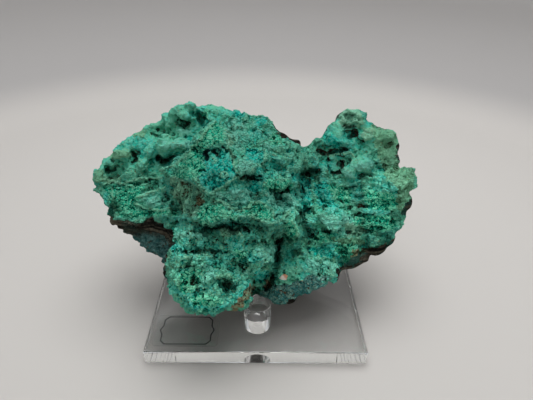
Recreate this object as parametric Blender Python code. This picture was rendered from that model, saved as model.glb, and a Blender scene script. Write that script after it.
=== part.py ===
"""Chrysocolla specimen on a clear acrylic display stand.

The rough stone sits on one clear rod, which stands on a square clear plate with a small film label.
All sizes below are in millimetres and are turned into metres where a mesh is made.
The origin is the middle of the plate's underside, +Z is up and the stone's crusted face looks along -Y.
"""

import math

import bmesh
import bpy
from mathutils import Matrix, Vector, noise
from mathutils.geometry import delaunay_2d_cdt

MM = 0.001
FIT_GAP = 0.3

# Clear plate: a 4 inch square of 8 mm sheet with eased edges.
PLATE_SIDE = 101.6
PLATE_THICK = 8.0
PLATE_EASE = 0.4

# Clear rod: half inch bar, standing on the plate near its front edge.
ROD_DIAMETER = 12.7
ROD_FROM_FRONT = 16.4
ROD_X = 0.4
ROD_TOP = 22.7
ROD_EASE = 0.3
ROD_SIDES = 48

# Film label on the plate's front left corner, with its corners cut.
LABEL_WIDTH = 30.0
LABEL_DEPTH = 18.0
LABEL_THICK = 0.2
LABEL_CUT = 1.2
LABEL_CENTRE = (-32.6, -39.1)

# Stone: the rim that parts its crusted face from its rough back, seen from the front and
# going clockwise from the left tip. Each point is (x, y, z).
LEFT_WING_RIM = [
    (-80, -2, 68), (-75, 4, 74), (-70, 8, 77), (-63, 13, 84), (-56, 18, 88),
    (-49, 21, 90), (-42, 24, 93), (-34, 26, 96), (-24, 25, 97), (-18, 24, 96),
]
CREST_RIM = [(-9, 20, 95), (1, 17, 93), (8, 14, 90), (14, 9, 84)]
SADDLE_RIM = [(22, 16, 80), (29, 18, 82), (36, 22, 86)]
RIGHT_WING_RIM = [
    (42, 26, 89), (52, 27, 88), (60, 26, 87), (67, 24, 85), (70, 22, 83), (71, 17, 78),
    (71, 12, 74), (78, 8, 71), (77, 3, 62), (78, -1, 58), (74, -4, 52), (72, -8, 47), (70, -14, 39),
]
UNDER_RIM = [
    (59, -18, 37), (46, -23, 30), (39, -28, 32), (33, -32, 30), (27, -34, 28),
    (19, -35, 22), (12, -35, 20), (5, -33, 20), (-5, -33, 21), (-20, -34, 26), (-31, -28, 28),
]
BROKEN_END_RIM = [
    (-39, -22, 26), (-45, -20, 33), (-51, -19, 38), (-56, -17, 42), (-61, -16, 47),
    (-65, -15, 51), (-69, -13, 54), (-73, -9, 59), (-76, -5, 63),
]
STONE_RIM = LEFT_WING_RIM + CREST_RIM + SADDLE_RIM + RIGHT_WING_RIM + UNDER_RIM + BROKEN_END_RIM

# Points of the face inside the rim: the two wings, the line along which the left wing is broken off,
# and the ground that the middle masses grow from.
FACE_POINTS = [
    (-60, 2, 72), (-47, 12, 82), (-46, -2, 69), (-50, -10, 60),
    (-66, -16, 56), (-54, -20, 57), (-38, -22, 58), (-58, -15, 51), (-49, -15, 49), (-40, -17, 47),
    (40, 12, 73), (60, 8, 70), (45, -2, 59), (30, -16, 45), (59, -5, 55), (35, 5, 66),
    (21, 1, 70), (20, -12, 56), (9, -29, 43), (-10, -10, 75), (-15, -25, 50), (24, -26, 36),
]
# Points of the rough back, from top to foot.
BACK_POINTS = [
    (-58, 24, 72), (-36, 38, 80), (-8, 36, 78), (18, 30, 68), (45, 40, 76), (62, 30, 68),
    (-52, 16, 50), (-28, 34, 56), (5, 38, 52), (34, 34, 52), (58, 16, 48),
    (-34, 8, 33), (-8, 22, 31), (22, 14, 30), (44, 4, 36), (0, -20, 20), (-22, -10, 25), (18, -12, 24),
]

# Rounded masses grown on the stone: centre and half sizes.
MASSES = {
    "peak": ((-18, -10, 83), (13, 13, 14)),
    "top_middle": ((-4, 2, 82), (16, 16, 11)),
    "upper_chest": ((-11, -19, 77), (18, 16, 14)),
    "left_shoulder": ((-31, -9, 70), (12, 12, 12)),
    "left_flank": ((-33, -12, 60), (11, 11, 10)),
    "right_shoulder": ((4, -6, 79), (15, 14, 13)),
    "chest_ledge": ((-8, -25, 68), (24, 17, 9)),
    "right_chest": ((9, -15, 64), (11, 13, 12)),
    "right_waist": ((15, -17, 54), (9, 12, 9)),
    "belly": ((-14, -25, 53), (21, 16, 13)),
    "right_hip": ((3, -27, 46), (10, 12, 12)),
    "lobe": ((-20, -41, 42), (15, 14, 13)),
    "lobe_left": ((-31, -39, 47), (7, 11, 12)),
    "lobe_right": ((-10, -41, 39), (9, 12, 9)),
    "crest_left": ((-34, 19, 88), (12, 10, 9)),
    "crest_middle": ((-20, 18, 88), (12, 10, 8)),
    "crest_right": ((-4, 14, 84), (12, 10, 8)),
    "knob": ((46, 26, 88), (7.5, 7, 6)),
    "knob_foot": ((40, 21, 80), (8, 8, 7)),
    "back_middle": ((0, 26, 60), (30, 20, 20)),
}

# Nodules that stand out of the crust: centre and radius.
NODULES = [
    ((-65, 9, 74), 6.0), ((-70, 6, 71), 4.5), ((-44, 10, 78), 6.5), ((-52, 9, 75), 5.0),
    ((-36, 8, 81), 6.0), ((-33, 16, 92), 6.5), ((-43, 19, 89), 5.5), ((-55, 15, 80), 5.5),
    ((-26, 12, 91), 4.0), ((-11, 13, 90), 5.0), ((1, 9, 88), 5.5), ((9, 8, 84), 5.0),
    ((16, 8, 78), 5.0), ((13, -10, 76), 6.5), ((5, -21, 76), 6.0), ((-3, -25, 83), 6.5),
    ((13, -20, 66), 5.5), ((15, -22, 56), 5.0), ((-37, -17, 49), 5.5), ((-24, -34, 60), 5.5),
    ((-8, -37, 59), 5.0), ((-1, -36, 52), 6.5), ((11, -31, 38), 4.0), ((37, 17, 79), 4.5),
    ((55, 24, 79), 8.0), ((66, 22, 78), 5.5), ((44, 9, 66), 5.0), ((50, 12, 70), 5.5),
    ((36, 13, 68), 4.5), ((36, -7, 51), 7.0), ((30, -14, 44), 5.5), ((35, -17, 38), 5.0),
    ((26, -23, 34), 5.0), ((62, 2, 61), 6.0), ((69, 4, 65), 5.0),
]

# Hollows sunk into the crust: centre on the face, radius and depth.
HOLLOWS = [
    ((-69, 1, 70), 4.0, 3.0), ((-44, 4, 75), 5.5, 6.0), ((-27, 10, 92), 4.0, 5.0), ((-36, 9, 89), 5.0, 5.0),
    ((-48, 14, 84), 4.0, 3.0), ((-58, 7, 78), 3.5, 3.0), ((-42, -11, 64), 5.0, 5.0), ((-51, -4, 67), 4.0, 3.0),
    ((-17, -21, 93), 4.0, 4.0), ((-3, -31, 85), 4.5, 4.0), ((10, -25, 74), 4.0, 4.0), ((21, 0, 70), 6.0, 5.0),
    ((-13, -38, 63), 8.0, 3.0), ((-23, -37, 58), 4.0, 3.0), ((-6, -42, 53), 3.5, 3.0), ((-25, -52, 51), 4.0, 3.5),
    ((-27, -47, 56), 3.5, 3.0), ((-11, -51, 49), 5.0, 4.0), ((10, -33, 51), 4.5, 5.0), ((5, -36, 40), 5.0, 5.0),
    ((0, -37, 31), 7.0, 6.0), ((46, 18, 84), 4.5, 5.0), ((32, 13, 75), 4.5, 4.0), ((40, 13, 75), 4.5, 4.0),
    ((38, 8, 71), 4.0, 3.0), ((27, 3, 69), 5.0, 4.0), ((21, -11, 56), 5.0, 5.0), ((23, -16, 48), 4.5, 4.0),
    ((32, -13, 48), 4.0, 3.0),
]

# How the stone's mesh is made.
SHELL_VOXEL = 1.5
RELIEF_VOXEL = 1.1
EASE_PASSES = 3
RELIEF_SEED = 7
STONE_TRIANGLES = 8400
FACE_LEAN = math.radians(33)


def clear_scene():
    for obj in list(bpy.data.objects):
        bpy.data.objects.remove(obj, do_unlink=True)


def material(name, colour, roughness, transmission=0.0):
    made = bpy.data.materials.new(name)
    made.use_nodes = True
    shader = made.node_tree.nodes["Principled BSDF"]
    shader.inputs["Base Color"].default_value = (*colour, 1.0)
    shader.inputs["Roughness"].default_value = roughness
    shader.inputs["Metallic"].default_value = 0.0
    shader.inputs["Transmission Weight"].default_value = transmission
    made.diffuse_color = (*colour, 1.0)
    return made


def object_from(name, shape, finish=None):
    """A named object from a bmesh in millimetres."""
    shape.transform(Matrix.Scale(MM, 4))
    bmesh.ops.recalc_face_normals(shape, faces=shape.faces)
    mesh = bpy.data.meshes.new(name)
    shape.to_mesh(mesh)
    shape.free()
    if finish:
        mesh.materials.append(finish)
    made = bpy.data.objects.new(name, mesh)
    bpy.context.scene.collection.objects.link(made)
    return made


def bake(obj):
    """Puts the object's evaluated mesh in place of its mesh and modifiers."""
    bpy.context.view_layer.update()
    evaluated = obj.evaluated_get(bpy.context.evaluated_depsgraph_get())
    old = obj.data
    obj.data = bpy.data.meshes.new_from_object(evaluated)
    obj.modifiers.clear()
    bpy.data.meshes.remove(old)


def add_remesh(obj, voxel):
    remesh = obj.modifiers.new("remesh", "REMESH")
    remesh.mode = "VOXEL"
    remesh.voxel_size = voxel * MM
    remesh.adaptivity = 0.0


def add_ease(obj, passes):
    ease = obj.modifiers.new("ease", "SMOOTH")
    ease.factor = 0.5
    ease.iterations = passes


def smoothstep(low, high, value):
    t = min(max((value - low) / (high - low), 0.0), 1.0)
    return t * t * (3.0 - 2.0 * t)


def face_plane(point):
    """A point seen square on to the stone's face, which leans back."""
    return Vector((point[0], point[1] * math.sin(FACE_LEAN) + point[2] * math.cos(FACE_LEAN)))


def add_sheet(shape, inner):
    """A triangulated surface through the rim and the points inside it."""
    points = STONE_RIM + inner
    rim = list(range(len(STONE_RIM)))
    flat = [face_plane(p) for p in points]
    _, _, faces, sources, _, _ = delaunay_2d_cdt(flat, [], [rim], 1, 1e-5)
    corners = {}
    for face in faces:
        for index in face:
            if index not in corners:
                corners[index] = shape.verts.new(points[sources[index][0]])
        shape.faces.new([corners[i] for i in face])


def add_ball(shape, centre, half_sizes):
    place = Matrix.Translation(centre) @ Matrix.Diagonal((*half_sizes, 1.0))
    bmesh.ops.create_icosphere(shape, subdivisions=3, radius=1.0, matrix=place)


def stone_shell():
    """The closed shell of face and back, with the masses and nodules pushed into it."""
    shape = bmesh.new()
    add_sheet(shape, FACE_POINTS)
    add_sheet(shape, BACK_POINTS)
    bmesh.ops.remove_doubles(shape, verts=shape.verts, dist=0.01)
    for centre, half_sizes in MASSES.values():
        add_ball(shape, centre, half_sizes)
    for centre, radius in NODULES:
        add_ball(shape, centre, (radius, radius, radius))
    return shape


def lumps(point, size):
    """Rounded grains about one size across with creases between them, from about -1 to 1."""
    spot = Vector(point) / size
    spot += noise.noise_vector(spot * 0.7) * 0.6
    near, second = noise.voronoi(spot)[0][:2]
    return 0.9 - 2.0 * near * near - 0.5 * smoothstep(0.25, 0.0, second - near)


def facets(point, size):
    """Flat broken facets about one size across, each tilted its own way."""
    spot = Vector(point) / size
    spot += noise.noise_vector(spot * 0.5) * 0.4
    centre = noise.voronoi(spot)[1][0]
    tilt = noise.cell_vector(centre * 7.3) * 2.0 - Vector((1.0, 1.0, 1.0))
    return (spot - centre).dot(tilt)


def ledges(point):
    """Thin beds, nearly level, that step in and out."""
    level = point[2] + 0.12 * point[0] + 2.5 * noise.noise(Vector(point) / 18)
    bed = level / 3.6
    return 0.6 * noise.noise(Vector((math.floor(bed), 3.1, 7.7))) + 0.5 * smoothstep(0.0, 0.5, bed % 1.0)


def relief(point, normal):
    """How far the surface stands out of the shell at a point, in millimetres."""
    x, y, z = point
    face_side = smoothstep(-0.15, 0.25, normal.y * -0.55 + normal.z * 0.83)
    middle = smoothstep(44, 30, abs(x + 8))
    broken_end = smoothstep(-32, -42, x) * smoothstep(57, 53, z) * smoothstep(-6, -12, y)
    left = smoothstep(-30, -45, x)
    right = smoothstep(14, 28, x)
    coarse = lumps(point, 10.0) * (1.5 * middle + 2.2 * left + 0.9 * right)
    fine = lumps(point, 5.0) * (1.1 * middle + 0.7 * left + 1.1 * right)
    crust = coarse + fine
    rough = 2.2 * facets(point, 12.0) + 1.0 * facets(point, 5.0)
    bedded = 1.6 * ledges(point) + 0.5 * facets(point, 6.0)
    base = rough + (crust - rough) * face_side
    return base + (bedded - base) * broken_end


def hollow_depth(point):
    """How deep the named hollows take a point of the surface."""
    deepest = 0.0
    for centre, radius, depth in HOLLOWS:
        away = (point - Vector(centre)).length / radius
        if away < 1.6:
            deepest = max(deepest, depth * smoothstep(1.6, 0.35, away))
    return deepest


def carve(obj):
    """Moves each point of the stone along its normal by the relief and the hollows."""
    mesh = obj.data
    normals = [n.vector.copy() for n in mesh.vertex_normals]
    for vertex in mesh.vertices:
        point = vertex.co / MM
        normal = normals[vertex.index]
        vertex.co += normal * MM * (relief(point, normal) - hollow_depth(point))
    mesh.update()


def keep_main_piece(obj):
    """Drops any crumb that the relief has cut loose from the stone."""
    shape = bmesh.new()
    shape.from_mesh(obj.data)
    unseen = set(shape.verts)
    pieces = []
    while unseen:
        piece = {unseen.pop()}
        edge_of_piece = list(piece)
        while edge_of_piece:
            linked = {e.other_vert(v) for v in edge_of_piece for e in v.link_edges}
            edge_of_piece = list(linked & unseen)
            unseen -= linked
            piece.update(edge_of_piece)
        pieces.append(piece)
    pieces.sort(key=len)
    for crumb in pieces[:-1]:
        bmesh.ops.delete(shape, geom=list(crumb), context="VERTS")
    shape.to_mesh(obj.data)
    shape.free()


def add_decimate(obj, triangles):
    count = sum(len(p.vertices) - 2 for p in obj.data.polygons)
    reduce = obj.modifiers.new("reduce", "DECIMATE")
    reduce.ratio = triangles / count


def rod_place():
    return ROD_X, ROD_FROM_FRONT - PLATE_SIDE / 2


def rod_clearance():
    """A guide that keeps the stone clear of the rod and gives it a flat seat on the rod's top."""
    shape = bmesh.new()
    x, y = rod_place()
    top = ROD_TOP + FIT_GAP
    radius = ROD_DIAMETER / 2 + FIT_GAP
    bmesh.ops.create_cone(
        shape, cap_ends=True, segments=ROD_SIDES, radius1=radius, radius2=radius,
        depth=top, matrix=Matrix.Translation((x, y, top / 2)),
    )
    guide = object_from("rod_clearance", shape)
    guide.hide_render = True
    guide.display_type = "WIRE"
    return guide


def build_stone(finish):
    noise.seed_set(RELIEF_SEED)
    stone = object_from("chrysocolla_stone", stone_shell(), finish)
    add_remesh(stone, SHELL_VOXEL)
    add_ease(stone, EASE_PASSES)
    bake(stone)
    carve(stone)
    add_remesh(stone, RELIEF_VOXEL)
    bake(stone)
    keep_main_piece(stone)
    add_decimate(stone, STONE_TRIANGLES)
    bake(stone)
    seat = stone.modifiers.new("rod_seat", "BOOLEAN")
    seat.operation = "DIFFERENCE"
    seat.object = rod_clearance()
    return stone


def ease_edges(shape, width, segments):
    bmesh.ops.bevel(
        shape, geom=list(shape.edges), offset=width, segments=segments, profile=0.5, affect="EDGES",
    )


def build_plate(finish):
    shape = bmesh.new()
    bmesh.ops.create_cube(shape, size=1.0)
    bmesh.ops.scale(shape, vec=(PLATE_SIDE, PLATE_SIDE, PLATE_THICK), verts=shape.verts)
    bmesh.ops.translate(shape, vec=(0, 0, PLATE_THICK / 2), verts=shape.verts)
    ease_edges(shape, PLATE_EASE, 2)
    return object_from("base_plate", shape, finish)


def build_rod(finish):
    shape = bmesh.new()
    x, y = rod_place()
    foot = PLATE_THICK + FIT_GAP
    radius = ROD_DIAMETER / 2
    bmesh.ops.create_cone(
        shape, cap_ends=True, segments=ROD_SIDES, radius1=radius, radius2=radius,
        depth=ROD_TOP - foot, matrix=Matrix.Translation((x, y, (ROD_TOP + foot) / 2)),
    )
    rims = [e for e in shape.edges if abs(e.verts[0].co.z - e.verts[1].co.z) < 0.01]
    bmesh.ops.bevel(shape, geom=rims, offset=ROD_EASE, segments=2, profile=0.5, affect="EDGES")
    rod = object_from("support_rod", shape, finish)
    rod.data.shade_smooth()
    rod.data.set_sharp_from_angle(angle=math.radians(30))
    return rod


def label_outline():
    """The label's eight corners, anticlockwise."""
    half_x, half_y = LABEL_WIDTH / 2, LABEL_DEPTH / 2
    corners = []
    for sign_x, sign_y in ((-1, -1), (1, -1), (1, 1), (-1, 1)):
        along = (sign_x * (half_x - LABEL_CUT), sign_y * half_y)
        up = (sign_x * half_x, sign_y * (half_y - LABEL_CUT))
        corners += [along, up] if sign_x * sign_y < 0 else [up, along]
    return corners


def build_label(finish):
    shape = bmesh.new()
    low = PLATE_THICK + FIT_GAP
    x, y = LABEL_CENTRE
    face = shape.faces.new([shape.verts.new((x + u, y + v, low)) for u, v in label_outline()])
    raised = bmesh.ops.extrude_face_region(shape, geom=[face])["geom"]
    top = [g for g in raised if isinstance(g, bmesh.types.BMVert)]
    bmesh.ops.translate(shape, vec=(0, 0, LABEL_THICK), verts=top)
    return object_from("label_film", shape, finish)


def main():
    clear_scene()
    build_stone(material("chrysocolla", (0.06, 0.30, 0.23), 0.8))
    clear_acrylic = material("clear_acrylic", (0.96, 0.98, 0.97), 0.02, 1.0)
    build_plate(clear_acrylic)
    build_rod(clear_acrylic)
    build_label(material("label_film", (0.93, 0.93, 0.91), 0.15, 1.0))


main()
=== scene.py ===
"""Finishes for a chrysocolla specimen on its clear stand: stone, rod, plate, label, floor, lights and camera.

Sizes are in metres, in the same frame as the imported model. Run it as a script: it builds every piece in turn.
"""

import math

import bpy
import numpy as np
from mathutils import Matrix, Vector
from mathutils.bvhtree import BVHTree


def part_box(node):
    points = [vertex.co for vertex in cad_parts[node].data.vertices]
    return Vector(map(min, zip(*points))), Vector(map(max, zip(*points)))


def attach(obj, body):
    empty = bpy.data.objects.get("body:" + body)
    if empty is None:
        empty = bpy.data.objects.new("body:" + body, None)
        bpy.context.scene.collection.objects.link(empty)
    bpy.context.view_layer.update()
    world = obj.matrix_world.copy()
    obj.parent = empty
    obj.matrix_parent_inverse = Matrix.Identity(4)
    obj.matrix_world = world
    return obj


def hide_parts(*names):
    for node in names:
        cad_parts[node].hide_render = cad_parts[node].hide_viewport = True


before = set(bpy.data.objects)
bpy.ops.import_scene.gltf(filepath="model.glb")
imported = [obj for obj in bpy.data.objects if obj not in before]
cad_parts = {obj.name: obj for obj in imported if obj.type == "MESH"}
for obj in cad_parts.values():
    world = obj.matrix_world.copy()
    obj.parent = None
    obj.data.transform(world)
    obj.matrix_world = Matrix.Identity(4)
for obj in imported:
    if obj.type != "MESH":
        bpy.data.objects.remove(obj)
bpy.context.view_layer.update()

bl_info = {
    "name": "Mineral Specimen Finishes",
    "version": (1, 0, 0),
    "blender": (4, 5, 0),
    "location": "View3D > Sidebar > Specimen",
    "description": "Builds and finishes a rough copper mineral on a clear stand",
    "category": "Object",
}

MM = 0.001
BODY = "root"

# Places on the stone, as seen from the camera: across and down, in pixels of a view of VIEW_SIZE.
# The sizes that follow a place are in millimetres.
VIEW_SIZE = (533, 400)

# Where each kind of crust lies: place and radius.
CRUST_ZONES = {
    "nodular": [
        (110, 165, 10), (125, 150, 12), (150, 140, 14), (175, 125, 14), (190, 110, 10), (165, 160, 10),
        (150, 198, 8), (215, 108, 8), (350, 116, 8), (337, 130, 8), (369, 134, 10), (390, 140, 8),
        (332, 160, 7), (349, 171, 6), (360, 163, 6),
    ],
    "grainy": [
        (213, 122, 8), (200, 140, 10), (190, 160, 11), (215, 160, 12), (228, 180, 9), (245, 195, 12),
        (215, 205, 12), (190, 200, 9), (265, 205, 9), (270, 185, 8), (255, 160, 9), (245, 140, 7),
        (270, 220, 7), (285, 215, 7),
    ],
    "blocky": [
        (190, 240, 13), (220, 245, 13), (250, 250, 12), (268, 255, 8), (200, 285, 14), (225, 275, 10),
        (240, 290, 8), (185, 265, 9), (330, 268, 9),
    ],
    "ribbed": [
        (130, 200, 14), (110, 190, 10), (350, 195, 15), (380, 200, 16), (330, 215, 14), (370, 225, 14),
        (400, 190, 10), (340, 240, 12), (390, 160, 10),
    ],
    "smooth": [(270, 296, 6), (285, 298, 7), (300, 294, 7), (314, 288, 6), (325, 283, 4)],
}

# Where the crust is missing and layered rock shows: the corners of each patch.
BARE_PATCHES = [
    [(336, 272), (346, 262), (358, 255), (368, 250), (380, 246), (390, 242), (398, 236), (402, 246), (386, 258),
     (370, 268), (350, 278), (338, 281)],
    [(271, 122), (280, 125), (290, 136), (284, 140), (278, 132)],
    [(396, 144), (406, 146), (406, 160), (397, 159)],
    [(409, 200), (420, 196), (406, 216), (401, 212)],
    [(288, 300), (300, 298), (296, 306), (286, 306)],
]

# Rounded lumps that stand out of the crust: place, radius.
LUMPS = [
    (122, 153, 4.5), (111, 164, 4.0), (164, 149, 5.5), (149, 155, 4.0), (183, 134, 4.5), (187, 142, 5.0),
    (190, 108, 4.0), (172, 115, 4.5), (168, 123, 3.5), (139, 147, 3.0), (153, 141, 3.0), (176, 142, 3.5),
    (143, 166, 3.5), (157, 167, 3.5), (128, 173, 3.0), (151, 198, 5.5), (206, 112, 3.5), (226, 116, 4.0),
    (246, 171, 4.0), (258, 166, 2.5), (296, 172, 5.0), (297, 188, 3.5), (276, 181, 4.0), (272, 140, 4.5),
    (176, 235, 4.5), (203, 235, 4.5), (182, 242, 3.5), (191, 245, 3.5), (219, 246, 4.0), (237, 246, 4.0),
    (242, 255, 3.0), (222, 259, 3.5), (254, 259, 4.5), (262, 253, 3.5), (271, 250, 4.0), (249, 271, 3.5),
    (225, 280, 3.0), (221, 271, 3.5), (240, 288, 3.5), (211, 281, 4.0), (184, 256, 3.0), (201, 264, 3.5),
    (334, 129, 4.0), (330, 138, 3.5), (366, 136, 5.0), (373, 138, 4.0), (390, 139, 4.5), (334, 162, 3.0),
    (360, 165, 4.5),
    (348, 172, 3.5), (315, 162, 4.0), (326, 238, 4.5), (330, 271, 4.5), (312, 265, 4.0), (334, 217, 5.0),
    (318, 246, 3.5), (352, 216, 4.0), (300, 196, 4.0), (330, 196, 4.0),
]

# Tips that the outline reaches: place, radius of the rough ball behind it.
TIPS = [
    (92, 178, 4.5), (349, 108, 5.5), (416, 171, 6.0), (414, 201, 6.0), (405, 186, 6.0), (394, 243, 6.0),
    (377, 256, 6.0),
    (356, 267, 5.5),
]

# Pits sunk into the crust: place, radius, depth.
PITS = [
    (160, 157, 2.6, 4.0), (166, 160, 3.0, 5.0), (170, 166, 2.4, 4.0), (200, 114, 2.4, 4.0), (202, 120, 2.2, 4.0),
    (179, 119, 2.2, 3.0), (184, 122, 2.4, 3.5), (192, 126, 2.0, 2.5),
    (118, 161, 3.0, 3.0), (110, 171, 3.0, 3.0), (160, 133, 2.0, 2.5), (132, 170, 2.0, 2.5),
    (137, 154, 2.0, 2.5), (148, 185, 1.8, 2.0), (122, 185, 1.8, 2.0), (167, 198, 3.5, 4.5),
    (174, 208, 2.5, 3.0), (207, 156, 2.4, 1.8), (214, 151, 1.8, 2.2), (224, 149, 2.0, 1.8),
    (224, 174, 1.5, 2.5), (215, 184, 3.5, 2.0), (248, 179, 2.5, 3.0), (242, 178, 2.0, 3.0),
    (256, 179, 2.0, 2.5), (282, 190, 2.5, 3.0), (309, 174, 2.6, 5.0), (316, 173, 2.2, 4.5),
    (250, 214, 5.0, 2.5), (235, 213, 4.0, 2.0), (205, 227, 3.0, 4.0), (214, 229, 3.0, 4.0),
    (224, 228, 3.0, 4.0), (234, 226, 3.0, 4.5), (243, 229, 2.6, 4.0), (252, 232, 2.4, 3.0),
    (262, 233, 2.4, 3.0), (201, 244, 2.5, 3.0), (204, 253, 2.0, 2.5),
    (218, 252, 1.6, 2.0), (225, 252, 1.6, 2.0), (243, 265, 2.5, 3.5), (263, 270, 2.0, 2.5),
    (277, 254, 2.5, 4.5), (279, 262, 2.5, 4.5), (276, 270, 2.5, 4.5), (281, 243, 2.5, 3.5),
    (190, 258, 1.6, 2.0), (187, 267, 1.6, 2.0), (191, 283, 2.6, 4.0), (192, 295, 2.0, 3.0),
    (227, 287, 3.0, 2.0), (222, 294, 2.2, 2.0), (257, 294, 3.5, 4.0), (354, 128, 2.2, 4.0),
    (355, 135, 2.0, 3.5), (356, 141, 1.6, 2.0), (319, 152, 1.6, 2.5), (324, 154, 2.0, 3.5), (330, 155, 1.6, 2.5),
    (341, 150, 1.8, 2.0), (347, 149, 1.6, 2.0), (335, 146, 2.6, 1.6), (328, 166, 1.6, 3.0), (330, 171, 1.6, 3.0),
    (342, 164, 1.8, 3.0), (341, 170, 1.6, 3.0), (358, 171, 1.8, 2.0), (368, 120, 4.0, 4.0),
    (303, 172, 2.0, 4.0), (325, 231, 2.0, 3.0), (349, 231, 1.8, 2.5),
    (305, 217, 2.5, 3.5), (308, 226, 2.5, 3.5), (310, 234, 2.5, 3.0), (341, 201, 1.6, 2.0),
    (352, 188, 1.4, 1.6), (360, 205, 1.6, 1.8), (372, 196, 1.4, 1.6), (320, 204, 1.8, 2.0),
]

# Thin ridges of pale grains: the places they run through, then height and half width.
RIDGES = [
    ([(162, 172), (180, 160), (186, 152), (194, 145), (201, 140), (209, 128)], 1.2, 0.9),
    ([(225, 144), (231, 152), (235, 159), (236, 168)], 0.9, 0.7),
    ([(195, 181), (201, 187), (208, 194), (217, 191), (225, 183), (235, 177)], 1.0, 0.8),
    ([(220, 172), (224, 170), (228, 173), (226, 178), (221, 177), (220, 172)], 0.8, 0.6),
    ([(196, 214), (205, 218), (216, 219), (230, 218), (241, 214), (252, 216), (262, 221), (270, 225),
      (280, 222), (288, 217)], 1.5, 1.0),
    ([(232, 205), (240, 203), (250, 206), (262, 204)], 0.9, 0.8),
    ([(184, 255), (193, 259), (201, 255), (210, 257)], 0.8, 0.7),
    ([(340, 152), (348, 153), (353, 158)], 0.8, 0.7),
]

# Trenches between the masses: the places they run through, then depth and half width.
TRENCHES = [
    ([(306, 178), (303, 190), (305, 205), (307, 220), (311, 235), (306, 246)], 4.5, 2.8),
    ([(196, 226), (207, 229), (220, 230), (234, 228), (246, 231), (262, 234)], 4.5, 2.4),
    ([(283, 240), (278, 252), (276, 264), (272, 276), (264, 290)], 5.5, 2.4),
    ([(178, 174), (173, 188), (177, 202), (184, 214), (190, 224)], 2.6, 2.0),
    ([(182, 250), (198, 252), (212, 253), (224, 262), (236, 270), (246, 268)], 2.6, 1.2),
    ([(240, 178), (250, 180), (259, 178)], 3.0, 1.0),
    ([(178, 163), (168, 160), (160, 157)], 3.0, 1.6),
    ([(192, 112), (201, 117), (206, 124)], 3.0, 1.6),
    ([(286, 236), (296, 240), (306, 246), (316, 256)], 3.0, 1.6),
    ([(224, 292), (228, 286), (224, 280)], 1.5, 1.6),
]

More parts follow.
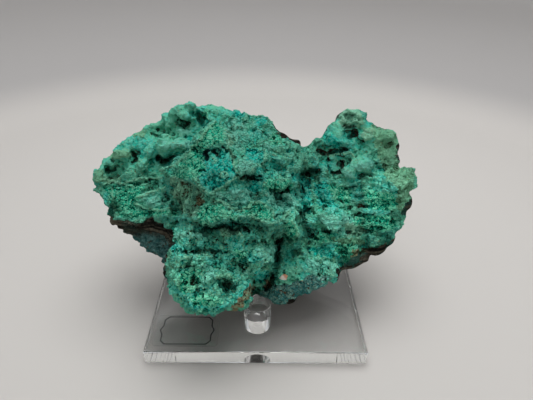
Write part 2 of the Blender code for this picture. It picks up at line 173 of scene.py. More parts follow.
# Patches of the crust that have a colour of their own, and patches lightened as painted light (lift): the corners
# of each.
PATCHES = {
    "green": [
        [(215, 121), (224, 130), (224, 143), (208, 146), (203, 158), (205, 170), (197, 178), (188, 180),
         (176, 178), (178, 167), (188, 153), (198, 139), (206, 128)],
        [(197, 212), (205, 204), (222, 205), (230, 211), (240, 214), (240, 221), (222, 219), (208, 227),
         (199, 222)],
        [(240, 208), (252, 202), (262, 202), (272, 212), (276, 222), (264, 222), (250, 215), (240, 214)],
        [(283, 222), (293, 220), (299, 232), (296, 242), (286, 238)],
        [(264, 180), (290, 179), (296, 186), (288, 192), (272, 191), (262, 186)],
        [(103, 186), (122, 186), (135, 182), (146, 186), (140, 196), (134, 204), (140, 212), (120, 213),
         (112, 206)],
        [(118, 211), (160, 209), (176, 211), (176, 216), (116, 216)],
        [(182, 270), (200, 268), (200, 285), (185, 296), (177, 286)],
        [(188, 297), (205, 292), (223, 300), (220, 310), (195, 310)],
        [(310, 238), (322, 230), (333, 234), (336, 242), (322, 243)],
        [(334, 244), (352, 243), (358, 252), (345, 263), (336, 256)],
        [(362, 188), (395, 195), (398, 212), (366, 208)],
        [(355, 215), (395, 215), (396, 230), (370, 232), (355, 225)],
        [(202, 109), (209, 108), (210, 118), (204, 119)],
        [(270, 134), (280, 132), (284, 143), (270, 145)],
        [(236, 250), (246, 250), (246, 260), (237, 260)],
        [(322, 186), (336, 183), (352, 192), (350, 204), (336, 200)],
    ],
    "blue": [
        [(222, 148), (229, 150), (233, 164), (237, 176), (226, 184), (211, 193), (200, 182), (198, 176),
         (206, 170), (206, 160), (214, 158), (220, 152)],
        [(244, 152), (252, 149), (265, 150), (264, 160), (257, 163), (247, 160)],
        [(256, 166), (262, 165), (262, 178), (256, 178)],
        [(248, 181), (260, 180), (262, 192), (250, 192)],
        [(300, 178), (312, 178), (311, 213), (301, 213)],
        [(314, 184), (326, 182), (334, 200), (338, 208), (318, 206)],
        [(324, 133), (336, 137), (346, 142), (338, 149), (326, 147)],
        [(304, 246), (318, 247), (333, 244), (340, 258), (320, 258)],
        [(256, 269), (268, 272), (266, 283), (255, 283)],
        [(232, 296), (250, 282), (254, 288), (236, 302)],
        [(182, 303), (190, 310), (225, 310), (226, 303), (214, 307), (195, 306)],
        [(230, 110), (240, 109), (246, 117), (234, 118)],
        [(255, 117), (267, 118), (265, 124), (256, 124)],
        [(292, 172), (302, 173), (300, 181), (291, 180)],
        [(232, 243), (240, 241), (242, 250), (234, 251)],
        [(248, 254), (258, 252), (257, 264), (248, 264)],
        [(178, 242), (181, 256), (173, 258), (171, 246)],
    ],
    "olive": [
        [(372, 124), (384, 128), (398, 134), (401, 150), (399, 160), (410, 162), (417, 172), (413, 186),
         (416, 199), (402, 214), (396, 205), (398, 190), (390, 178), (380, 162), (374, 142)],
        [(106, 157), (116, 149), (130, 150), (133, 157), (118, 160)],
        [(90, 179), (100, 167), (106, 180), (98, 184)],
        [(134, 132), (142, 127), (146, 134), (134, 140)],
        [(383, 160), (398, 160), (398, 182), (386, 182)],
        [(332, 238), (360, 238), (366, 244), (340, 244)],
        [(266, 280), (272, 278), (274, 292), (266, 294)],
    ],
    "pale": [
        [(336, 112), (345, 109), (357, 110), (363, 117), (358, 121), (345, 124), (337, 121)],
        [(238, 160), (250, 160), (258, 164), (254, 172), (252, 177), (240, 176), (236, 168)],
        [(215, 196), (232, 190), (246, 188), (258, 192), (262, 200), (248, 202), (235, 206), (220, 203)],
        [(264, 193), (292, 193), (297, 206), (288, 214), (270, 205)],
        [(226, 118), (245, 121), (250, 140), (240, 152), (231, 146), (228, 130)],
        [(160, 143), (176, 140), (192, 141), (190, 147), (176, 149), (163, 149)],
        [(178, 130), (190, 129), (190, 137), (179, 138)],
        [(350, 164), (372, 160), (374, 168), (358, 173)],
        [(342, 168), (352, 168), (354, 178), (343, 177)],
        [(318, 214), (345, 214), (358, 222), (352, 238), (338, 232), (322, 226)],
        [(258, 248), (276, 246), (276, 262), (264, 266), (258, 258)],
        [(174, 232), (192, 230), (210, 234), (212, 239), (196, 240), (176, 239)],
        [(200, 262), (216, 270), (216, 282), (202, 284), (204, 272)],
        [(306, 258), (328, 260), (338, 266), (334, 277), (318, 280), (306, 272)],
        [(240, 268), (256, 270), (254, 275), (242, 274)],
        [(140, 192), (156, 190), (166, 196), (160, 206), (146, 206)],
        [(376, 130), (386, 133), (384, 146), (374, 142)],
        [(262, 140), (272, 146), (268, 156), (260, 146)],
    ],
    # Painted light: these patches are lightened where light thrown up from the floor and plate falls on the lower
    # front.
    "lift": [
        [(168, 226), (205, 229), (272, 236), (278, 262), (268, 292), (248, 304), (226, 318), (178, 316), (166, 290),
         (176, 262)],
        [(290, 200), (350, 196), (366, 240), (338, 284), (300, 306), (262, 304), (262, 292), (276, 270),
         (288, 240)],
        [(366, 176), (392, 166), (418, 172), (436, 186), (436, 208), (414, 222), (386, 232), (368, 220)],
    ],
    "earth": [
        [(248, 286), (255, 286), (247, 300), (235, 315), (225, 317), (236, 302)],
        [(298, 281), (312, 280), (312, 286), (298, 288)],
        [(284, 300), (298, 298), (296, 304), (284, 304)],
        [(352, 251), (372, 247), (376, 252), (350, 263)],
        [(196, 196), (204, 199), (203, 206), (197, 204)],
        [(264, 280), (270, 277), (272, 290), (266, 293)],
    ],
    "tan": [
        [(172, 173), (180, 178), (196, 185), (206, 197), (200, 206), (196, 216), (184, 216), (179, 206),
         (174, 196), (170, 184)],
        [(224, 130), (231, 134), (234, 148), (228, 146)],
        [(362, 126), (374, 128), (372, 140), (362, 142)],
        [(104, 176), (122, 178), (120, 184), (102, 183)],
        [(218, 228), (240, 228), (242, 236), (222, 238)],
        [(345, 222), (366, 226), (362, 238), (346, 236)],
        [(338, 116), (345, 108), (358, 108), (364, 117), (361, 128), (348, 130), (340, 126)],
    ],
}

# Thin pale crests: the places each runs through.
PALE_LINES = [
    [(160, 170), (172, 166), (184, 158), (192, 148), (200, 140), (208, 128), (215, 121)],
    [(228, 146), (232, 154), (234, 164), (236, 172)],
    [(196, 180), (201, 188), (208, 194), (216, 191), (226, 184), (237, 177), (244, 180)],
    [(222, 172), (227, 173), (226, 178), (221, 176), (222, 172)],
    [(212, 158), (216, 160), (214, 163)],
    [(213, 200), (222, 202), (232, 208), (240, 211), (248, 208), (252, 202), (262, 203), (272, 210), (274, 217)],
    [(240, 216), (252, 216), (262, 221), (270, 224), (278, 222), (286, 216), (290, 210)],
    [(252, 172), (254, 168), (258, 164)],
    [(103, 184), (112, 181), (122, 184), (132, 180), (150, 178), (162, 178)],
    [(136, 198), (150, 193), (165, 187)],
    [(134, 203), (145, 208), (160, 211), (172, 208)],
    [(112, 188), (113, 200), (115, 210)],
    [(265, 150), (265, 158), (262, 164)],
    [(184, 258), (195, 256), (205, 254), (211, 257)],
    [(292, 221), (296, 228), (299, 236)],
    [(330, 156), (340, 154), (350, 153), (354, 157)],
    [(185, 287), (192, 288), (198, 286)],
    [(218, 276), (226, 274), (232, 278)],
]

# Dark cracks, sunk into the crust and darkened with painted shade: the places each runs through, then its half
# width in pixels of the view.
DARK_LINES = [
    ([(241, 178), (248, 177), (254, 179), (261, 180)], 1.3),
    ([(206, 227), (215, 229), (225, 225), (232, 230), (240, 229)], 2.4),
    ([(230, 220), (240, 224), (250, 231)], 1.5),
    ([(182, 252), (192, 253), (205, 249), (215, 252), (229, 252)], 1.5),
    ([(277, 240), (278, 252), (277, 262), (274, 276), (268, 290)], 2.6),
    ([(302, 175), (308, 172), (319, 171)], 2.4),
    ([(346, 126), (353, 127), (354, 134), (350, 137)], 2.6),
    ([(319, 151), (327, 154), (336, 151), (347, 150)], 1.8),
    ([(328, 166), (333, 174), (341, 170), (342, 162)], 1.5),
    ([(271, 190), (282, 192), (288, 190)], 1.4),
    ([(229, 150), (234, 158)], 1.0),
    ([(206, 151), (207, 160)], 1.6),
    ([(212, 151), (217, 153)], 1.3),
    ([(223, 147), (226, 151)], 1.5),
    ([(203, 118), (201, 124), (198, 113)], 2.4),
    ([(176, 122), (184, 127), (189, 122)], 2.0),
    ([(158, 158), (165, 162), (170, 156)], 2.4),
    ([(105, 170), (112, 171), (118, 166)], 1.6),
    ([(165, 194), (168, 199), (164, 202)], 2.0),
    ([(200, 170), (205, 171)], 1.0),
    ([(274, 217), (280, 214), (284, 213)], 1.0),
    ([(301, 212), (305, 222), (311, 236)], 2.2),
    ([(325, 231), (330, 232)], 1.5),
    ([(352, 216), (360, 213)], 1.2),
    ([(338, 200), (343, 202)], 1.2),
    ([(192, 284), (196, 282)], 1.4),
    ([(254, 292), (262, 296)], 2.4),
    ([(240, 264), (244, 268), (250, 263)], 1.5),
    ([(224, 285), (230, 284), (226, 292)], 2.0),
    ([(132, 152), (137, 158), (133, 162)], 1.4),
    ([(152, 133), (160, 137)], 1.4),
]

# Parts of the crust that stand out from the rest like a plate: the corners, and the height in millimetres.
RAISED = [
    ([(215, 121), (226, 131), (228, 145), (233, 165), (236, 177), (222, 186), (210, 194), (196, 181),
      (176, 181), (178, 167), (188, 153), (198, 138)], 2.0),
    ([(196, 213), (206, 204), (224, 205), (240, 212), (254, 203), (264, 203), (273, 212), (288, 211),
      (290, 221), (276, 227), (262, 224), (248, 219), (238, 222), (222, 220), (208, 227), (198, 221)], 2.2),
    ([(238, 160), (250, 160), (258, 164), (254, 172), (252, 177), (240, 176), (236, 168)], 1.4),
    ([(264, 180), (290, 179), (296, 186), (288, 191), (272, 190), (262, 186)], 1.3),
    ([(250, 248), (272, 246), (276, 262), (262, 266), (252, 260)], 1.5),
    ([(174, 232), (192, 230), (210, 234), (212, 239), (196, 240), (176, 239)], 1.5),
    ([(350, 164), (372, 160), (374, 168), (358, 173)], 1.4),
    ([(342, 168), (352, 168), (354, 178), (343, 177)], 1.4),
    ([(330, 156), (352, 153), (354, 158), (342, 164), (330, 161)], 1.5),
    ([(114, 150), (130, 151), (132, 157), (118, 160)], 1.3),
    ([(159, 146), (176, 140), (192, 141), (190, 148), (172, 152), (160, 156)], 1.6),
    ([(178, 130), (190, 129), (190, 137), (179, 138)], 1.2),
    ([(283, 222), (293, 220), (299, 232), (296, 242), (286, 238)], 1.4),
    ([(318, 214), (345, 214), (358, 222), (352, 230), (338, 228), (322, 226)], 1.0),
    ([(136, 199), (150, 193), (165, 190), (167, 204), (156, 210), (140, 206)], 1.2),
]

# Rust and slate stains on the crust, and two kinds of painted shade: dark in the pits, trenches and under the
# overhangs, and a fainter, wider shade mostly on the lower front. Place and radius for each colour.
STAINS_AND_SHADE = {
    "rust": [
        (182, 188, 4), (176, 200, 3), (198, 200, 4), (190, 212, 4), (172, 178, 2), (137, 153, 2),
        (132, 171, 2), (215, 156, 1.5), (210, 166, 1.5), (253, 285, 2.5), (246, 294, 2.5), (240, 302, 2.5),
        (230, 311, 3), (236, 307, 2.5), (306, 283, 2.5), (292, 302, 3), (300, 300, 2), (216, 240, 2),
        (193, 282, 2), (188, 297, 1.5), (318, 270, 2), (330, 226, 2), (362, 206, 2), (410, 205, 3),
        (345, 212, 1.6), (226, 236, 2), (243, 166, 1.5), (233, 190, 1.5), (180, 232, 2),
    ],
    # Painted shade in the pits, trenches and under the overhangs.
    "dark": [
        (277, 256, 4), (280, 244, 4), (276, 268, 4), (306, 222, 4), (309, 232, 4), (257, 295, 4),
        (205, 229, 4), (220, 230, 4), (234, 231, 4), (313, 174, 4), (227, 287, 4), (283, 125, 3),
        (281, 133, 3), (290, 240, 4), (167, 198, 3), (174, 208, 3), (300, 182, 3), (345, 262, 4),
        (360, 256, 4), (375, 250, 4), (388, 244, 4), (350, 268, 4), (397, 238, 3), (296, 250, 4),
        (104, 205, 3), (110, 214, 3), (202, 118, 3), (165, 159, 3),
    ],
    # Fainter, wider painted shade, mostly on the lower front.
    "painted_shade": [
        (325, 245, 6), (345, 250, 7), (365, 243, 7), (385, 232, 6), (305, 235, 6), (290, 250, 6),
        (255, 232, 6), (235, 228, 5), (210, 230, 5), (100, 205, 5), (395, 215, 5), (280, 262, 5),
        (195, 205, 6), (180, 205, 5), (270, 262, 5), (186, 308, 4), (205, 313, 4), (222, 311, 4),
        (405, 212, 4), (300, 215, 5),
    ],
    "slate": [(207, 154, 2.4), (208, 160, 1.8), (214, 150, 1.6), (222, 148, 2.0), (226, 151, 1.6)],
}

# A pale crystal in the crust: its place, and its radius in millimetres.
GRAIN_PLACE = (283.5, 277)
GRAIN_RADIUS = 1.85

# Edges that turn by more than this stay sharp, in degrees.
STONE_EDGE = 24
GRAIN_EDGE = 20
STAND_EDGE = 30

# The label's printed border, in millimetres: its size, the cut at its corners, how far its ends swell out and
# how far from their middle the swell reaches, and the width of its line.
LABEL_BORDER = (25.0, 15.9)
LABEL_CORNER = 1.9
LABEL_CUSP = 1.1
LABEL_CUSP_REACH = 3.0
LABEL_LINE = 0.6

# How far the rod's foot is let into the plate, so that the two join.
ROD_SINK = 0.8 * MM

# The left and right sides of the plate are tinted darker as a painted dark reflection: what they let through, and
# how far inside its outline the tint begins and is complete.
SIDE_REFLECTION_TINT = (0.50, 0.52, 0.51)
SIDE_REFLECTION_BAND = (0.12, 0.04)

# A face of the stand that is larger than this, and faces straight along x, y or z, is shaded flat.
FLAT_AREA = 20 * MM * MM

# How far each point looks for stone around it, how far above the surface it looks from, and how often.
OPEN_REACH = 8.0 * MM
OPEN_START = 0.12 * MM
OPEN_RAYS = 12

# The plane that the crust's rim lies near: the way it faces in y and z, and its reach in millimetres.
RIM_WAY = (-0.772, 0.635)
RIM_REACH = 39.0

# Where the broken end begins and is complete along x, z and y, in millimetres.
BROKEN_LEFT = (-34, -40)
BROKEN_TOP = (57, 54)
BROKEN_BACK = (-8, -12)

# The height, in millimetres, at which the broken end turns from umber to blue-green.
BROKEN_FOOT = 47.0

# Half width of a pale crest in pixels of the view, its height and the depth of a dark crack in millimetres.
PALE_WIDTH = 1.15
PALE_RISE = 0.7
DARK_SINK = 0.8

# The way the crust faces.
FRONT = (0.0, -0.77, 0.64)

# How deep a lump's ball sits in the crust, in radii, and its half sizes in radii.
LUMP_SINK = 0.45
LUMP_SHAPE = (1.1, 0.95, 0.85)


# ---------------------------------------------------------------------------------------------
# Settings that a user would change


class StoneSettings(bpy.types.PropertyGroup):
    voxel: bpy.props.FloatProperty(
        name="Detail size", description="Cell size of the stone's surface", default=0.42 * MM,
        min=0.2 * MM, unit="LENGTH",
    )
    middle_voxel: bpy.props.FloatProperty(
        name="Middle size", description="Cell size of the surface that the fine relief grows from",
        default=0.5 * MM, min=0.2 * MM, unit="LENGTH",
    )
    base_voxel: bpy.props.FloatProperty(
        name="Ground size", description="Cell size of the surface that the relief grows from",
        default=0.65 * MM, min=0.3 * MM, unit="LENGTH",
    )
    triangles: bpy.props.IntProperty(
        name="Triangles", description="Most triangles that the stone may have", default=194000, min=1000,
    )


class StageSettings(bpy.types.PropertyGroup):
    floor_colour: bpy.props.FloatVectorProperty(
        name="Floor", description="Colour of the floor and the sweep behind it", subtype="COLOR",
        size=3, default=(0.57, 0.55, 0.525), min=0.0, max=1.0,
    )
    # The wall's colour is darker than the floor's: painted shade.
    shaded_wall_colour: bpy.props.FloatVectorProperty(
        name="Wall", description="Colour of the upright part of the sweep", subtype="COLOR",
        size=3, default=(0.41, 0.40, 0.395), min=0.0, max=1.0,
    )
    key_power: bpy.props.FloatProperty(
        name="Key light", description="Power of the overhead soft box", default=3.7, min=0.0, unit="POWER",
    )
    fill_power: bpy.props.FloatProperty(
        name="Front light", description="Power of the soft box beside the camera", default=1.35, min=0.0,
        unit="POWER",
    )
    sky_strength: bpy.props.FloatProperty(
        name="Sky", description="Strength of the even light from above", default=0.59, min=0.0,
    )


# ---------------------------------------------------------------------------------------------
# Small helpers


def deselect_all():
    if bpy.context.object and bpy.context.object.mode != "OBJECT":
        bpy.ops.object.mode_set(mode="OBJECT")
    bpy.ops.object.select_all(action="DESELECT")


def make_active(obj):
    deselect_all()
    obj.select_set(True)
    bpy.context.view_layer.objects.active = obj


def apply_modifiers(obj):
    make_active(obj)
    for modifier in list(obj.modifiers):
        bpy.ops.object.modifier_apply(modifier=modifier.name)


def merged_copy(node, name):
    """A copy of a CAD node under a new name, with its loose triangles merged into one surface."""
    make_active(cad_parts[node])
    bpy.ops.object.duplicate()
    copy = bpy.context.object
    copy.name = name
    copy.data.name = name
    copy.parent = None
    for key in list(copy.keys()):
        del copy[key]
    bpy.ops.object.mode_set(mode="EDIT")
    bpy.ops.mesh.select_all(action="SELECT")
    bpy.ops.mesh.remove_doubles(threshold=0.001 * MM)
    bpy.ops.object.mode_set(mode="OBJECT")
    return copy


def remesh(obj, voxel):
    modifier = obj.modifiers.new("Remesh", "REMESH")
    modifier.mode = "VOXEL"
    modifier.voxel_size = voxel
    modifier.adaptivity = 0.0
    apply_modifiers(obj)


def smooth(obj, factor, repeats):
    modifier = obj.modifiers.new("Smooth", "SMOOTH")
    modifier.factor = factor
    modifier.iterations = repeats
    apply_modifiers(obj)


def decimate(obj, triangles):
    """Thins the mesh where it is flattest until it has no more than the given number of triangles."""
    count = sum(len(p.vertices) - 2 for p in obj.data.polygons)
    if count > triangles:
        modifier = obj.modifiers.new("Decimate", "DECIMATE")
        modifier.ratio = triangles / count
        apply_modifiers(obj)


def smoothstep(low, high, value):
    t = np.clip((value - low) / (high - low), 0.0, 1.0)
    return t * t * (3.0 - 2.0 * t)


def points_of(mesh):
    flat = np.empty(len(mesh.vertices) * 3, np.float32)
    mesh.vertices.foreach_get("co", flat)
    return flat.reshape(-1, 3).astype(float)


def normals_of(mesh):
    flat = np.empty(len(mesh.vertices) * 3, np.float32)
    mesh.vertex_normals.foreach_get("vector", flat)
    return flat.reshape(-1, 3).astype(float)


def store(mesh, name, values):
    old = mesh.attributes.get(name)
    if old:
        mesh.attributes.remove(old)
    attribute = mesh.attributes.new(name, "FLOAT", "POINT")
    attribute.data.foreach_set("value", np.asarray(values, np.float32))


def new_material(name):
    """A material, its node maker, its shader and the place of each point in millimetres."""
    material = bpy.data.materials.new(name)
    material.use_nodes = True
    make = NodeMaker(material.node_tree)
    place = make.vector("SCALE", make.add("ShaderNodeTexCoord").outputs["Object"], scale=1 / MM)
    return material, make, material.node_tree.nodes["Principled BSDF"], place


class NodeMaker:
    """Adds nodes to a node tree: an input is a socket to link from, or a value to set."""

    def __init__(self, tree):
        self.tree = tree

    def feed(self, socket, value):
        if isinstance(value, bpy.types.NodeSocket):
            self.tree.links.new(value, socket)
        elif value is not None:
            socket.default_value = value

    def add(self, kind, settings=None, **inputs):
        made = self.tree.nodes.new(kind)
        for key, value in (settings or {}).items():
            setattr(made, key, value)
        for key, value in inputs.items():
            self.feed(made.inputs[key.replace("_", " ")], value)
        return made

    def math(self, operation, first, second=None, clamp=False):
        made = self.tree.nodes.new("ShaderNodeMath")
        made.operation = operation
        made.use_clamp = clamp
        self.feed(made.inputs[0], first)
        self.feed(made.inputs[1], second)
        return made.outputs[0]

    def vector(self, operation, first, second=None, scale=None):
        made = self.tree.nodes.new("ShaderNodeVectorMath")
        made.operation = operation
        self.feed(made.inputs[0], first)
        if second is not None:
            self.feed(made.inputs[1], second)
        if scale is not None:
            self.feed(made.inputs["Scale"], scale)
        return made.outputs["Value" if operation == "DOT_PRODUCT" else "Vector"]

    def ramp(self, value, low, high, to_low=0.0, to_high=1.0):
        made = self.tree.nodes.new("ShaderNodeMapRange")
        made.interpolation_type = "SMOOTHSTEP"
        for key, number in zip(("Value", "From Min", "From Max", "To Min", "To Max"),
                               (value, low, high, to_low, to_high)):
            self.feed(made.inputs[key], number)
        return made.outputs["Result"]

    def noise(self, vector, scale, detail=2.0, roughness=0.5, out="Fac"):
        made = self.add("ShaderNodeTexNoise", {"noise_type": "FBM", "noise_dimensions": "3D"},
                        Vector=vector, Scale=scale, Detail=detail, Roughness=roughness)
        return made.outputs[out]

    def cells(self, vector, scale, feature="F1", out="Distance"):
        made = self.add("ShaderNodeTexVoronoi", {"feature": feature, "voronoi_dimensions": "3D"},
                        Vector=vector, Scale=scale)
        return made.outputs[out]


# ---------------------------------------------------------------------------------------------
# Places seen from the camera


def camera_matrix():
    turn = Matrix.Rotation(math.radians(-CAMERA_TURN), 4, "Z")
    tilt = Matrix.Rotation(math.radians(90 - CAMERA_TILT), 4, "X")
    roll = Matrix.Rotation(math.radians(CAMERA_ROLL), 4, "Z")
    return Matrix.Translation(CAMERA_PLACE) @ turn @ tilt @ roll


def sight_line(across, down):
    """Where the camera stands and the way it looks at a place in the view."""
    matrix = camera_matrix()
    reach = CAMERA_LENS / SENSOR * VIEW_SIZE[0]
    ray = Vector((across - VIEW_SIZE[0] / 2, VIEW_SIZE[1] / 2 - down, -reach))
    return matrix.translation, matrix.to_3x3() @ ray.normalized()


def sight_of(obj):
    """A function that gives the point of the object seen at a place in the view, in mm, and its normal."""
    tree = BVHTree.FromObject(obj, bpy.context.evaluated_depsgraph_get())

    def look(across, down):
        start, ray = sight_line(across, down)
        point, normal, _, _ = tree.ray_cast(start, ray)
        if point is None:
            # Just past the outline: the nearest point of the surface serves.
            depth = (Vector(obj.bound_box[0]) + Vector(obj.bound_box[6])) / 2 - start
            point, normal, _, _ = tree.find_nearest(start + ray * depth.dot(ray))
        return point / MM, normal

    return look


def view_spots(points):
    """Where each point, in millimetres, appears in the camera's view."""
    matrix = np.array(camera_matrix().inverted())
    seen = points * MM @ matrix[:3, :3].T + matrix[:3, 3]
    reach = CAMERA_LENS / SENSOR * VIEW_SIZE[0]
    spots = reach * seen[:, :2] / -seen[:, 2:]
    return np.column_stack((VIEW_SIZE[0] / 2 + spots[:, 0], VIEW_SIZE[1] / 2 - spots[:, 1]))


def side_distance(spots, start, end):
    """How far each spot is from a straight side."""
    side = np.subtract(end, start)
    step = np.clip(((spots - start) @ side) / (side @ side), 0.0, 1.0)
    return np.linalg.norm(spots - start - step[:, None] * side, axis=1)


def depth_inside(spots, corners):
    """How far each spot is inside a shape with straight sides; outside it the number is negative."""
    away = np.full(len(spots), 1e9)
    inside = np.zeros(len(spots), bool)
    for start, end in zip(corners, corners[1:] + corners[:1]):
        away = np.minimum(away, side_distance(spots, start, end))
        if start[1] != end[1]:
            crosses = (spots[:, 1] < start[1]) != (spots[:, 1] < end[1])
            slope = (end[0] - start[0]) / (end[1] - start[1])
            inside ^= crosses & (spots[:, 0] < start[0] + (spots[:, 1] - start[1]) * slope)
    return np.where(inside, away, -away)


def near_line(spots, places, width):
    """1 on a line through the places, falling to 0 a little beyond its half width."""
    away = np.full(len(spots), 1e9)
    for start, end in zip(places, places[1:]):
        away = np.minimum(away, side_distance(spots, start, end))
    return smoothstep(1.5, 0.5, away / width)


# ---------------------------------------------------------------------------------------------
# The stone's shape


def zone_weight(points, look, zone, edge=(1.2, 0.75)):
    """How much each point, in millimetres, belongs to a zone, from 0 to 1."""
    weight = np.zeros(len(points))
    for across, down, radius in zone:
        centre, _ = look(across, down)
        away = np.linalg.norm(points - np.array(centre), axis=1) / radius
        weight = np.maximum(weight, smoothstep(*edge, away))
    return weight


def wander(points, size, amount):
    """The points, in millimetres, each pushed aside by slow waves about one size long."""
    turned = points @ np.array([[0.36, 0.48, -0.8], [-0.8, 0.6, 0.0], [0.48, 0.64, 0.6]])
    pushed = points.copy()
    for axis in range(3):
        one, two = turned[:, (axis + 1) % 3], points[:, (axis + 2) % 3]
        wave = np.sin(6.3 * one / size + 1.7 * axis) + np.sin(9.1 * two / size + 2.9 * axis + wave_bend(one, size))
        pushed[:, axis] += 0.5 * amount * wave
    return pushed


def wave_bend(values, size):
    return 1.5 * np.sin(3.7 * values / size)


def mark_zones(stone, look):
    """Stores where the crust, the broken end and each kind of crust lie."""
    mesh = stone.data
    points = points_of(mesh) / MM
    normals = normals_of(mesh)
    x, y, z = points.T
    # The rim lies near one leaning plane; what stands in front of it, or faces its way, is crust.
    in_front = RIM_WAY[0] * y + RIM_WAY[1] * z - RIM_REACH
    facing = normals @ np.array(FRONT)
    crust = smoothstep(-0.4, 0.5, in_front / 6.0 + 1.5 * facing)
    broken = smoothstep(*BROKEN_LEFT, x) * smoothstep(*BROKEN_TOP, z) * smoothstep(*BROKEN_BACK, y)
    crust *= 1 - broken
    spots = view_spots(wander(points, 4.0, 0.8))
    for corners in BARE_PATCHES:
        crust *= 1 - smoothstep(-1.5, 1.5, depth_inside(spots, corners))
    store(mesh, "crust", crust)
    store(mesh, "broken", broken)
    total = np.zeros(len(points))
    weights = {}
    for name, zone in CRUST_ZONES.items():
        weights[name] = zone_weight(points, look, zone) * crust
        total += weights[name]
    for name, weight in weights.items():
        store(mesh, name, weight / np.maximum(total, 1.0))
    store(mesh, "plain", np.clip(crust - total, 0, 1))


def relief_group(name, build):
    """A Geometry Nodes group that moves each point along its normal by the height that build returns, in mm."""
    tree = bpy.data.node_groups.new(name, "GeometryNodeTree")
    tree.interface.new_socket("Geometry", in_out="INPUT", socket_type="NodeSocketGeometry")
    tree.interface.new_socket("Geometry", in_out="OUTPUT", socket_type="NodeSocketGeometry")
    make = NodeMaker(tree)
    source = tree.nodes.new("NodeGroupInput")
    target = tree.nodes.new("NodeGroupOutput")
    place = make.vector("SCALE", make.add("GeometryNodeInputPosition").outputs[0], scale=1 / MM)
    height = make.math("MULTIPLY", build(make, place), MM)
    offset = make.vector("SCALE", make.add("GeometryNodeInputNormal").outputs[0], scale=height)
    move = make.add("GeometryNodeSetPosition", None, Geometry=source.outputs[0], Offset=offset)
    tree.links.new(move.outputs[0], target.inputs[0])
    return tree


def named(make, name):
    made = make.add("GeometryNodeInputNamedAttribute", {"data_type": "FLOAT"}, Name=name)
    return made.outputs["Attribute"]


def weighted(make, pairs):
    """The sum of height times weight."""
    total = None
    for height, weight in pairs:
        part = make.math("MULTIPLY", height, weight)
        total = part if total is None else make.math("ADD", total, part)
    return total


def zoned(make, height, **amounts):
    """A height that counts as much as each zone's amount says."""
    weight = weighted(make, [(named(make, zone), amount) for zone, amount in amounts.items()])
    return height, weight


def warped(make, place, size, amount):
    """The place pushed about by soft noise, so that cells lose their roundness."""
    push = make.noise(place, 1 / size, 1.0, out="Color")
    push = make.vector("SUBTRACT", push, (0.5, 0.5, 0.5))
    return make.vector("ADD", place, make.vector("SCALE", push, scale=amount))


def puffs(make, place, size, detail=1.0):
    """Swollen lumps with sharp creases between them, from about -0.5 to 0.8."""
    noise = make.math("SUBTRACT", make.noise(place, 1 / size, detail), 0.5)
    return make.math("SUBTRACT", make.math("MULTIPLY", make.math("ABSOLUTE", noise), 5.0), 0.5)


def beads(make, place, size):
    """Round beads one size apart, 0.5 at their tops and about -1 in the creases."""
    near = make.cells(place, 1 / size)
    return make.math("SUBTRACT", 0.5, make.math("MULTIPLY", make.math("POWER", near, 1.7), 2.2))


def chips(make, place, size):
    """Flat chips that each tilt their own way, with steps between them."""
    cell = make.add("ShaderNodeTexVoronoi", {"feature": "F1", "voronoi_dimensions": "3D"},
                    Vector=place, Scale=1 / size)
    tilt = make.vector("SUBTRACT", cell.outputs["Color"], (0.5, 0.5, 0.5))
    away = make.vector("SUBTRACT", make.vector("SCALE", place, scale=1 / size),
                       make.vector("SCALE", cell.outputs["Position"], scale=1 / size))
    slope = make.vector("DOT_PRODUCT", away, tilt)
    rise = make.add("ShaderNodeSeparateXYZ", None, Vector=tilt).outputs[0]
    return make.math("ADD", make.math("MULTIPLY", slope, 1.6), rise)


def blocks(make, place, size, groove=0.07):
    """Tilted blocks about one size across that stand apart, with steep grooves between them."""
    edge = make.ramp(make.cells(place, 1 / size, "DISTANCE_TO_EDGE"), 0.0, groove)
    tilted = make.math("MULTIPLY", chips(make, place, size), 1.3)
    return make.math("ADD", make.math("MULTIPLY", make.math("SUBTRACT", edge, 0.85), 0.7), tilted)


# Ribs lie nearly level and are longer than they are high.
RIB_STRETCH = (0.34, 0.9, 1.1)


def coarse_relief(make, place):
    bent = warped(make, place, 9.0, 6.0)
    small = warped(make, place, 4.5, 3.0)
    lie = make.math("SUBTRACT", make.noise(place, 1 / 14, 2.0), 0.5)
    beds = make.math("SINE", make.math("MULTIPLY", make.vector("DOT_PRODUCT", bent, (0.12, 0.1, 1.0)), 2.4))
    ribs = make.vector("MULTIPLY", small, RIB_STRETCH)
    return weighted(make, [
        (lie, 1.6),
        zoned(make, puffs(make, bent, 8.0), nodular=0.8, grainy=0.9, blocky=0.6, ribbed=0.4, smooth=0.4,
              plain=1.3, broken=0.2),
        zoned(make, beads(make, small, 6.5), nodular=1.5, plain=0.4),
        zoned(make, blocks(make, small, 5.5), plain=1.3, grainy=0.5, blocky=0.9, nodular=0.3, broken=0.4),
        zoned(make, blocks(make, warped(make, place, 3.5, 2.2), 3.8), blocky=1.5, plain=0.5),
        zoned(make, blocks(make, ribs, 3.8), ribbed=1.6),
        zoned(make, beds, broken=0.9),
    ])


def middle_relief(make, place):
    bent = warped(make, place, 3.5, 2.5)
    small = warped(make, place, 2.2, 1.5)
    return weighted(make, [
        zoned(make, puffs(make, bent, 2.8, 1.0), nodular=0.45, grainy=0.35, blocky=0.2, ribbed=0.2, plain=0.25,
              smooth=0.3, broken=0.2),
        zoned(make, blocks(make, small, 2.6), blocky=1.15, plain=0.7, nodular=0.45, grainy=0.3, broken=0.4,
              smooth=0.25),
        zoned(make, blocks(make, make.vector("MULTIPLY", small, RIB_STRETCH), 2.0), ribbed=0.9),
    ])


